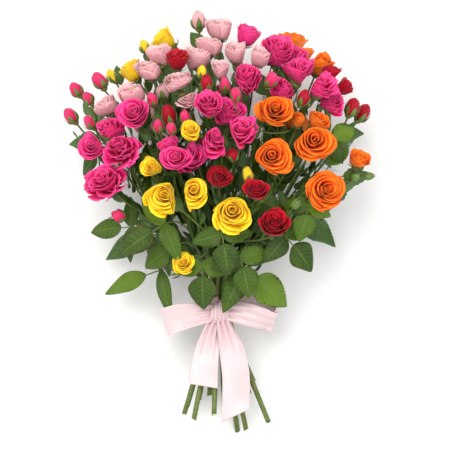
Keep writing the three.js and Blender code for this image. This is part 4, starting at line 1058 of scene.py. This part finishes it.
def strip_grid(points, seed, slant=0):
    """A grid over a strip of ribbon that gathers into pleats where it is narrow, its painted shade in the
    hollows of the pleats and where it gathers, and its length.
    """
    middle = smooth_through([lay(*at) for at, _, _ in points], STRIP_ROWS)
    wide = smooth_through([unit(lay(*w)) for _, w, _ in points], STRIP_ROWS)
    share = smooth_through([[s] for _, _, s in points], STRIP_ROWS)[:, 0]
    run = np.gradient(middle, axis=0)
    length = np.linalg.norm(np.diff(middle, axis=0), axis=1).sum()
    u = np.linspace(-1, 1, STRIP_COLS)
    r = wave(seed, 5)
    grid = np.zeros((STRIP_ROWS, STRIP_COLS, 3))
    fold_shade = np.zeros((STRIP_ROWS, STRIP_COLS))
    for i in range(STRIP_ROWS):
        along = unit(run[i])
        across = square_to(along, wide[i])
        normal = np.cross(along, across)
        t = i / (STRIP_ROWS - 1)
        gathered = max(1 - share[i], 0)
        pleat = 4.6 * gathered * np.cos(math.pi * (3.0 * u + 0.8 * r[0]) + 1.3 * r[1])
        crown = 0.9 * (1 - u**2) * min(share[i], 1)
        ripple = 0.5 * np.sin(ROUND * (2.2 * t + r[2])) * u + 0.35 * np.sin(ROUND * (3.1 * t + r[3])) * u**2
        grid[i] = middle[i] + np.outer(u * share[i] * RIBBON_WIDTH / 2, across)
        grid[i] += np.outer(pleat + crown + ripple, normal)
        grid[i] += np.outer(slant * u * np.clip(8 * t - 7, 0, 1), along)
        # Painted shade: the strip is darker in the hollows of its pleats and where it gathers towards the
        # knot.
        fold_shade[i] = np.clip(-pleat / 1.6, 0, 1) * 0.8 + np.clip(gathered / 0.5, 0, 1) ** 2 * 0.25
    return grid, fold_shade.clip(0, 1), length


def add_ribbon(shape):
    """The wrap, the bow's loops and tails and its knot. Gives the length of ribbon used."""
    total = 0
    for k, (strip, points) in enumerate(BOW.items()):
        grid, fold_shade, length = strip_grid(points, 4000 + k, SLANTS.get(strip, 0))
        rim = np.linspace(0, 1, STRIP_ROWS)[:, None] * length / 100
        # Passes the strip's painted fold shade to the satin material.
        add_blade(shape, grid, CLOTH, rim=rim, side=np.linspace(-1, 1, STRIP_COLS), tone=k / 4, wear=fold_shade)
        total += length
    return total + add_wrap(shape) + add_knot(shape)


def add_wrap(shape):
    """The ribbon round the binding, with a small gap under the knot."""
    angles = np.linspace(0.10, 2 * math.pi - 0.10, WRAP_ROWS)
    v = np.linspace(-1, 1, WRAP_COLS)
    ring = np.zeros((WRAP_ROWS, WRAP_COLS, 3))
    for i, angle in enumerate(angles):
        for j, w in enumerate(v):
            radius = WRAP_RADIUS + 0.25 * math.sin(5 * angle + 3 * w) - 0.35 * w * w
            y = TIE_Y + w * 0.43 * RIBBON_WIDTH + 0.4 * math.sin(2 * angle)
            ring[i, j] = lay(radius * math.sin(angle), y, radius * math.cos(angle))
    add_blade(shape, ring, CLOTH, rim=angles[:, None] * 0.15, side=v, tone=0.9)
    return 2 * math.pi * WRAP_RADIUS


def add_knot(shape):
    """The knot: a gathered turn of ribbon across the middle of the bow."""
    (x0, y0, z0), (a, b, c) = KNOT_AT, KNOT_HALF
    rings, crease_shade = [], []
    for s in np.linspace(-0.985, 0.985, KNOT_ROWS):
        swell = (1 - abs(s) ** 3.2) ** 0.5
        crease = math.cos(19 * s + 0.7)
        pleat = 1 + 0.06 * crease + 0.02 * math.cos(41 * s)
        # Painted shade: darker in the knot's creases and towards its gathered ends, and a little everywhere.
        crease_shade.append(0.1 + 0.6 * max(-crease, 0) + 0.3 * abs(s) ** 3)
        angle = 2 * math.pi * np.arange(KNOT_SIDES) / KNOT_SIDES
        wobble = 1 + 0.02 * np.sin(3 * angle + 5 * s)
        y = y0 + 0.6 * math.sin(2.2 * s) + b * swell * pleat * wobble * np.cos(angle)
        z = z0 + (c + KNOT_RISE * (np.sin(angle) > 0)) * swell * pleat * wobble * np.sin(angle)
        rings.append([lay(x0 + a * s * (1 - 0.10 * math.cos(q)), *yz) for q, yz in zip(angle, zip(y, z))])
    side = np.linspace(-0.8, 0.8, KNOT_ROWS)
    # Passes the knot's painted crease shade to the satin material.
    add_rings(shape, rings, rim=0.3, side=side, tone=0.5, wear=np.array(crease_shade))
    return math.pi * (b + c)


def add_twine(shape):
    """Turns of twine wound side by side round the stems."""
    turns, steps, sides, thick = 13, 40, 7, 0.62
    pitch = BINDING["width"] / (turns + 0.6)
    angle = np.linspace(0, 2 * math.pi * turns, turns * steps)
    radius = BINDING["inner"] + thick + 0.05
    y = TIE_Y - BINDING["width"] / 2 + thick + pitch * angle / (2 * math.pi)
    path = np.array([lay(radius * math.sin(q), w, radius * math.cos(q)) for q, w in zip(angle, y)])
    rings = rings_along(path, np.full(len(path), thick), sides, UP_BUNCH)
    add_rings(shape, rings, rim=angle / 10, tone=0.5)


# ---- Materials ----
class Paint:
    """A procedural material, built up node by node."""

    def __init__(self, name, roughness, **settings):
        self.colour = None
        self.material = bpy.data.materials.new(name)
        self.material.use_nodes = True
        self.tree = self.material.node_tree
        self.surface = self.tree.nodes["Principled BSDF"]
        self.surface.inputs["Roughness"].default_value = roughness
        for key, value in settings.items():
            self.surface.inputs[key.replace("_", " ")].default_value = value

    def link(self, value, socket):
        """Sets a socket, or links it to another's value."""
        if isinstance(value, bpy.types.NodeSocket):
            self.tree.links.new(value, socket)
        elif isinstance(value, tuple) and len(value) == 3 and socket.type == "RGBA":
            socket.default_value = (*value, 1)
        else:
            socket.default_value = value

    def node(self, kind, output, inputs, **settings):
        """An output of a new node, with its inputs by number or name."""
        node = self.tree.nodes.new("ShaderNode" + kind)
        for key, value in settings.items():
            setattr(node, key, value)
        for key, value in inputs.items():
            self.link(value, node.inputs[key])
        return node.outputs[output]

    def values(self, *names):
        """The values that a shape was given at its corners."""
        return [self.node("Attribute", "Fac", {}, attribute_name=name) for name in names]

    def math(self, operation, *values):
        return self.node("Math", 0, dict(enumerate(values)), operation=operation)

    def times(self, a, b):
        return self.math("MULTIPLY", a, b)

    def plus(self, a, b):
        return self.math("ADD", a, b)

    def minus(self, a, b):
        return self.math("SUBTRACT", a, b)

    def span(self, *values):
        """Maps a value smoothly from low..high to 0..1, or to the two numbers after them."""
        return self.node("MapRange", 0, dict(enumerate(values)), interpolation_type="SMOOTHSTEP")

    def mix(self, share, a, b, blend="MIX"):
        """A colour that goes from a to b by a share."""
        return self.node("Mix", 2, {0: share, 6: a, 7: b}, data_type="RGBA", blend_type=blend)

    def coat(self, share, colour):
        """Covers the material's colour with another, by a share."""
        self.colour = self.mix(share, self.colour, colour)

    def shade(self, grey):
        """Multiplies the material's colour by a grey."""
        self.colour = self.mix(1.0, self.colour, self.place(grey, grey, grey), "MULTIPLY")

    def place(self, *parts):
        return self.node("CombineXYZ", 0, dict(enumerate(parts)))

    def point(self):
        return self.node("TexCoord", "Object", {})

    def noise(self, place, scale, detail, rough=0.5):
        inputs = {"Vector": place, "Scale": scale, "Detail": detail, "Roughness": rough}
        return self.node("TexNoise", "Fac", inputs)

    def cells(self, place, scale):
        """How far a point is from the edges of the cells that it lies among."""
        inputs = {"Vector": place, "Scale": scale}
        return self.node("TexVoronoi", "Distance", inputs, feature="DISTANCE_TO_EDGE")

    def finish(self, height=None, strength=0.3, distance=0.0004, roughness=None):
        """Ends the material with its colour, its bumps and how rough it is."""
        self.link(self.colour, self.surface.inputs["Base Color"])
        if roughness is not None:
            self.link(roughness, self.surface.inputs["Roughness"])
        if height is not None:
            inputs = {"Height": height, "Strength": strength, "Distance": distance}
            self.link(self.node("Bump", "Normal", inputs), self.surface.inputs["Normal"])
        return self.material


# For each colour of rose: the claw at a petal's foot (darker, painted shade of the depths between petals),
# its middle, its rim (paler, a painted highlight), its back, the heart of the rose (darker, painted shade of
# its inner petals).
PETAL_COLOURS = {
    "pink": (
        (0.44, 0.001, 0.05), (0.84, 0.005, 0.17), (0.98, 0.085, 0.36),
        (0.84, 0.05, 0.26), (0.56, 0.001, 0.06),
    ),
    "pink_bud": (
        (0.30, 0.06, 0.03), (0.74, 0.012, 0.12), (0.92, 0.14, 0.32), (0.74, 0.02, 0.12), (0.60, 0.002, 0.08),
    ),
    "blush": (
        (0.66, 0.24, 0.25), (0.84, 0.42, 0.44), (0.93, 0.66, 0.65), (0.80, 0.38, 0.42), (0.72, 0.24, 0.26),
    ),
    "yellow": (
        (0.88, 0.33, 0.000), (1.0, 0.60, 0.003), (1.0, 0.76, 0.035), (1.0, 0.64, 0.03), (0.95, 0.36, 0.001),
    ),
    "orange": (
        (0.78, 0.045, 0.0), (0.97, 0.125, 0.001), (1.0, 0.23, 0.012),
        (0.93, 0.25, 0.02), (0.82, 0.035, 0.001),
    ),
    "red": (
        (0.20, 0.001, 0.004), (0.46, 0.001, 0.01), (0.58, 0.006, 0.024),
        (0.4, 0.002, 0.02), (0.26, 0.0005, 0.006),
    ),
}
DRY = (0.32, 0.12, 0.05)


def petal_paint(family):
    """Soft petals, streaked along, with painted shade on their claws and inner petals, a painted highlight on
    their rims, and here and there a dry rim.
    """
    shaded_claw, middle, rim_highlight, back, shaded_heart = PETAL_COLOURS[family]
    p = Paint(
        f"{family}_petal", 0.55, Subsurface_Weight=0.12, Subsurface_Radius=(0.0030, 0.0014, 0.0010),
        Subsurface_Scale=1.0, Sheen_Weight=0.06, Sheen_Roughness=0.45, Specular_IOR_Level=0.20,
    )
    rim, side, layer, tone, wear, under = p.values(*VALUES)
    # Painted shade: the inner petals take the darker heart colour.
    p.colour = p.mix(p.span(layer, 0.75, 0.05), middle, shaded_heart)
    # Painted highlight: the rims are paler.
    p.coat(p.times(p.span(rim, 0.62, 1.0), 0.75), rim_highlight)
    p.coat(p.times(p.minus(1.0, under), 0.7), back)
    # Painted shade: the petals' feet darken where they lie in the depths between petals.
    p.coat(p.span(rim, 0.42, 0.05), shaded_claw)
    fine = p.noise(p.place(p.times(side, 26.0), p.times(rim, 2.2), tone), 1.0, 4.0, 0.6)
    blotch = p.noise(p.point(), 130.0, 3.0)
    mottle = p.plus(p.times(tone, 0.5), p.times(blotch, 0.5))
    p.shade(p.span(mottle, 0.15, 0.85, 0.80, 1.12))
    p.shade(p.span(fine, 0.35, 0.75, 0.90, 1.06))
    dry = p.times(p.span(rim, 0.93, 1.0), p.span(wear, 0.80, 1.0, 0.0, 0.45))
    p.coat(dry, DRY)
    return p.finish(fine, 0.35, 0.0004, p.span(blotch, 0.3, 0.7, 0.48, 0.62))


def leaf_paint():
    """Green leaves with a rib, side veins and a fine net, paler underneath."""
    p = Paint("leaf", 0.46, Specular_IOR_Level=0.22)
    t, u, tone, wear, under = p.values("rim", "side", "tone", "wear", "under")
    across = p.math("ABSOLUTE", u)
    run = p.minus(p.times(t, VEINS), p.times(across, VEIN_LEAN))
    beside = p.math("ABSOLUTE", p.minus(p.math("FRACT", run), 0.5))
    side_vein = p.times(p.span(beside, 0.40, 0.50), p.span(across, 1.0, 0.55))
    rib = p.span(across, 0.075, 0.015)
    net = p.span(p.cells(p.point(), 620.0), 0.0, 0.10, 1.0, 0.0)
    vein = p.math("MAXIMUM", rib, p.times(side_vein, 0.7))
    blotch = p.noise(p.point(), 55.0, 4.0)
    p.colour = p.mix(p.span(tone, 0.0, 1.0), (0.020, 0.048, 0.003), (0.052, 0.110, 0.005))
    p.coat(p.span(tone, 0.70, 1.0), (0.110, 0.200, 0.010))
    p.coat(p.span(blotch, 0.35, 0.75, 0.0, 0.5), (0.070, 0.125, 0.009))
    p.coat(p.times(vein, 0.60), (0.13, 0.22, 0.035))
    p.coat(p.times(net, 0.18), (0.12, 0.22, 0.05))
    edge = p.times(p.span(across, 0.88, 1.0), p.span(wear, 0.4, 1.0, 0.0, 0.7))
    p.coat(edge, (0.16, 0.07, 0.03))
    pale = p.mix(p.times(vein, 0.5), (0.10, 0.19, 0.06), (0.19, 0.30, 0.11))
    p.coat(p.times(under, 0.85), pale)
    height = p.minus(p.times(blotch, 0.4), p.plus(vein, p.times(net, 0.3)))
    return p.finish(height, 0.45, 0.0005, p.span(blotch, 0.3, 0.7, 0.32, 0.46))


def stem_paint():
    """Green bark, browner at the joints and on the thorns."""
    p = Paint("stem", 0.45)
    tone, share, wear = p.values("tone", "rim", "wear")
    streak = p.noise(p.point(), 260.0, 5.0, 0.65)
    p.colour = p.mix(p.span(streak, 0.3, 0.7), (0.060, 0.098, 0.010), (0.135, 0.180, 0.024))
    p.coat(p.times(p.span(share, 0.0, 1.0), 0.5), (0.075, 0.14, 0.014))
    p.coat(p.times(tone, p.span(wear, 0.2, 1.0, 0.15, 0.55)), (0.20, 0.13, 0.05))
    return p.finish(streak, 0.3, 0.0003, p.span(streak, 0.3, 0.7, 0.38, 0.52))


def sepal_paint():
    """Pale green sepals, paler inside, with darker tips."""
    p = Paint("sepal", 0.5)
    along, under, tone = p.values("rim", "under", "tone")
    blotch = p.noise(p.point(), 160.0, 4.0)
    p.colour = p.mix(p.span(along, 0.2, 1.0), (0.085, 0.16, 0.020), (0.13, 0.22, 0.036))
    p.coat(p.span(blotch, 0.35, 0.7, 0.0, 0.6), (0.07, 0.15, 0.03))
    p.coat(p.times(under, 0.5), (0.28, 0.36, 0.18))
    p.coat(p.times(p.span(along, 0.85, 1.0), tone), (0.25, 0.10, 0.06))
    return p.finish(blotch, 0.3, 0.0003)


def rib_paint():
    """The stalks and ribs of leaves."""
    p = Paint("leaf_rib", 0.45)
    (tone,) = p.values("tone")
    grain = p.noise(p.point(), 300.0, 3.0)
    p.colour = p.mix(p.span(tone, 0.1, 0.7), (0.09, 0.155, 0.022), (0.14, 0.21, 0.04))
    p.coat(p.span(grain, 0.4, 0.8, 0.0, 0.4), (0.22, 0.15, 0.06))
    return p.finish(grain, 0.25, 0.0002)


def satin_paint():
    """Pale pink satin with a selvage, and painted shade in its folds and creases."""
    p = Paint(
        "pink_satin", 0.33, Anisotropic=0.55, Sheen_Weight=0.12, Sheen_Roughness=0.3,
        Sheen_Tint=(1.0, 0.90, 0.92, 1), Specular_IOR_Level=0.7,
    )
    run, side, wear = p.values("rim", "side", "wear")
    threads = p.noise(p.place(p.times(run, 4.0), p.times(side, 150.0)), 1.0, 2.0)
    weft = p.noise(p.place(p.times(run, 220.0), p.times(side, 5.0)), 1.0, 2.0)
    selvage = p.span(p.math("ABSOLUTE", side), 0.90, 0.95)
    p.colour = p.mix(p.span(threads, 0.3, 0.7), (0.60, 0.435, 0.45), (0.69, 0.53, 0.54))
    p.coat(p.span(weft, 0.4, 0.7, 0.0, 0.25), (0.76, 0.62, 0.62))
    p.coat(p.times(selvage, 0.45), (0.84, 0.70, 0.70))
    # Painted shade: a darker dusty pink in the folds and creases.
    p.coat(p.times(wear, 0.8), (0.56, 0.31, 0.335))
    height = p.plus(p.times(threads, 0.6), p.plus(p.times(weft, 0.4), selvage))
    return p.finish(height, 0.25, 0.00015, p.span(threads, 0.3, 0.7, 0.28, 0.38))


def grained_paint(name, roughness, scale, detail, dark, light, strength, distance):
    """A plain material of one grain."""
    p = Paint(name, roughness)
    grain = p.noise(p.point(), scale, detail, 0.7)
    p.colour = p.mix(grain, dark, light)
    return p.finish(grain, strength, distance)


# ---- The pieces ----
PETALS = {family: petal_paint(family) for family in PETAL_COLOURS}
CUT = grained_paint("cut_stem", 0.75, 900.0, 4.0, (0.48, 0.52, 0.26), (0.72, 0.74, 0.50), 0.4, 0.0002)
TWINE = grained_paint("twine", 0.85, 700.0, 5.0, (0.22, 0.14, 0.055), (0.58, 0.44, 0.22), 0.7, 0.0004)
STEM_MATERIALS = [stem_paint(), CUT, sepal_paint()]  # in the order of their kinds
LEAF_MATERIALS = [leaf_paint(), rib_paint()]
BUD_FAMILY = {"stem_blush_1": "pink", "stem_orange_2": "red"}  # where it isn't the stem's own colour


def piece(shape, name, materials, node):
    """Makes a piece that takes the place of a node's solid, painted with the materials given."""
    made = shape.make(name, materials)
    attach(made, "root")
    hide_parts(node)
    return made


for node in dict.fromkeys(f.node for f in flowers if f.node):
    rose = Shape()
    for f in flowers:
        if f.node == node:
            family = f.family
            add_bloom(rose, f)
    piece(rose, f"{node}_petals", [PETALS[family]], node)

for number, s in enumerate(sprays.values()):
    wood, buds, foliage = Shape(), Shape(), Shape()
    add_stem(wood, s, 7000 + 40 * number)
    for f, curve in s.stalks:
        add_stalk(wood, f, curve, 7500 + f.index)
        add_sepals(wood, f)
        count = min(int(np.linalg.norm(curve[2] - curve[0]) // BRACT_EVERY), MOST_BRACTS)
        along_stalk = functools.partial(quadratic, curve)
        add_small_leaves(foliage, along_stalk, BRACT_SHARES, count, 9000 + 10 * f.index, BRACT_SIZES)
        if f.form == "bud":
            add_bloom(buds, f)
    for k, (leaf, at) in enumerate(s.leaves):
        add_leaf(foliage, leaf, at, 8000 + 100 * number + 10 * k)
    along_stem = functools.partial(cubic, s.upper)
    add_small_leaves(foliage, along_stem, INNER_SHARES, INNER_LEAVES, 20000 + 100 * number, INNER_SIZES)
    piece(wood, f"{s.name}_stem", STEM_MATERIALS, s.name)
    if buds.count:
        family = BUD_FAMILY.get(s.name, s.name.split("_")[1])
        paint = PETALS["pink_bud" if family == "pink" else family]
        piece(buds, f"{s.name}_buds", [paint], s.name)
    if foliage.count:
        piece(foliage, f"{s.name}_leaves", LEAF_MATERIALS, s.name)

twine = Shape()
add_twine(twine)
piece(twine, "binding_twine", [TWINE], "binding")
cloth = Shape()
ribbon_length = add_ribbon(cloth)
bow = piece(cloth, "ribbon_bow", [satin_paint()], "satin_ribbon")

# ---- The floor, the light and the camera ----
FLOOR_HALF = 6  # metres
corners = [(x * FLOOR_HALF, y * FLOOR_HALF, 0) for x, y in ((-1, -1), (1, -1), (1, 1), (-1, 1))]
floor_mesh = bpy.data.meshes.new("floor")
floor_mesh.from_pydata(corners, [], [(0, 1, 2, 3)])
floor_paint = Paint("floor", 0.9)
floor_paint.colour = (0.90, 0.90, 0.895)
floor_mesh.materials.append(floor_paint.finish())
in_scene("floor", floor_mesh)

world = bpy.data.worlds.new("studio")
world.use_nodes = True
sky = world.node_tree.nodes["Background"]
sky.inputs["Color"].default_value = (1.0, 1.0, 1.0, 1)
sky.inputs["Strength"].default_value = 0.95
bpy.context.scene.world = world


LIT_PLACE = (0, 0, 0.08)  # where both lamps point


def area_light(name, place, size, power, colour):
    """A square lamp."""
    data = bpy.data.lights.new(name, "AREA")
    data.shape, data.size, data.energy, data.color = "SQUARE", size, power, colour
    lamp = in_scene(name, data)
    lamp.location = place
    lamp.rotation_euler = (Vector(LIT_PLACE) - Vector(place)).to_track_quat("-Z", "Y").to_euler()


area_light("key", (-0.45, 0.45, 2.1), 1.3, 30, (1.0, 0.985, 0.96))
area_light("fill", (0.9, -0.6, 1.8), 1.4, 9, (0.97, 0.98, 1.0))

# The camera looks down through the front of the head, and its picture is as wide as the photo's 450 mm.
LENS, SENSOR, PICTURE_WIDTH = 360, 36, 450
PHOTO_CENTRE = lay(5, 80, 60)
camera_data = bpy.data.cameras.new("camera")
camera_data.lens, camera_data.sensor_width = LENS, SENSOR
camera_data.clip_start, camera_data.clip_end = 0.05, 20
camera = in_scene("camera", camera_data)
stand = (PHOTO_CENTRE + FRONT * PICTURE_WIDTH * LENS / SENSOR - SHIFT) / MM
camera.matrix_world = [(*AXIS_X, 0), (*UP_BUNCH, 0), (*FRONT, 0), (*stand, 1)]
bpy.context.scene.camera = camera
bpy.context.scene.view_settings.view_transform = "Standard"
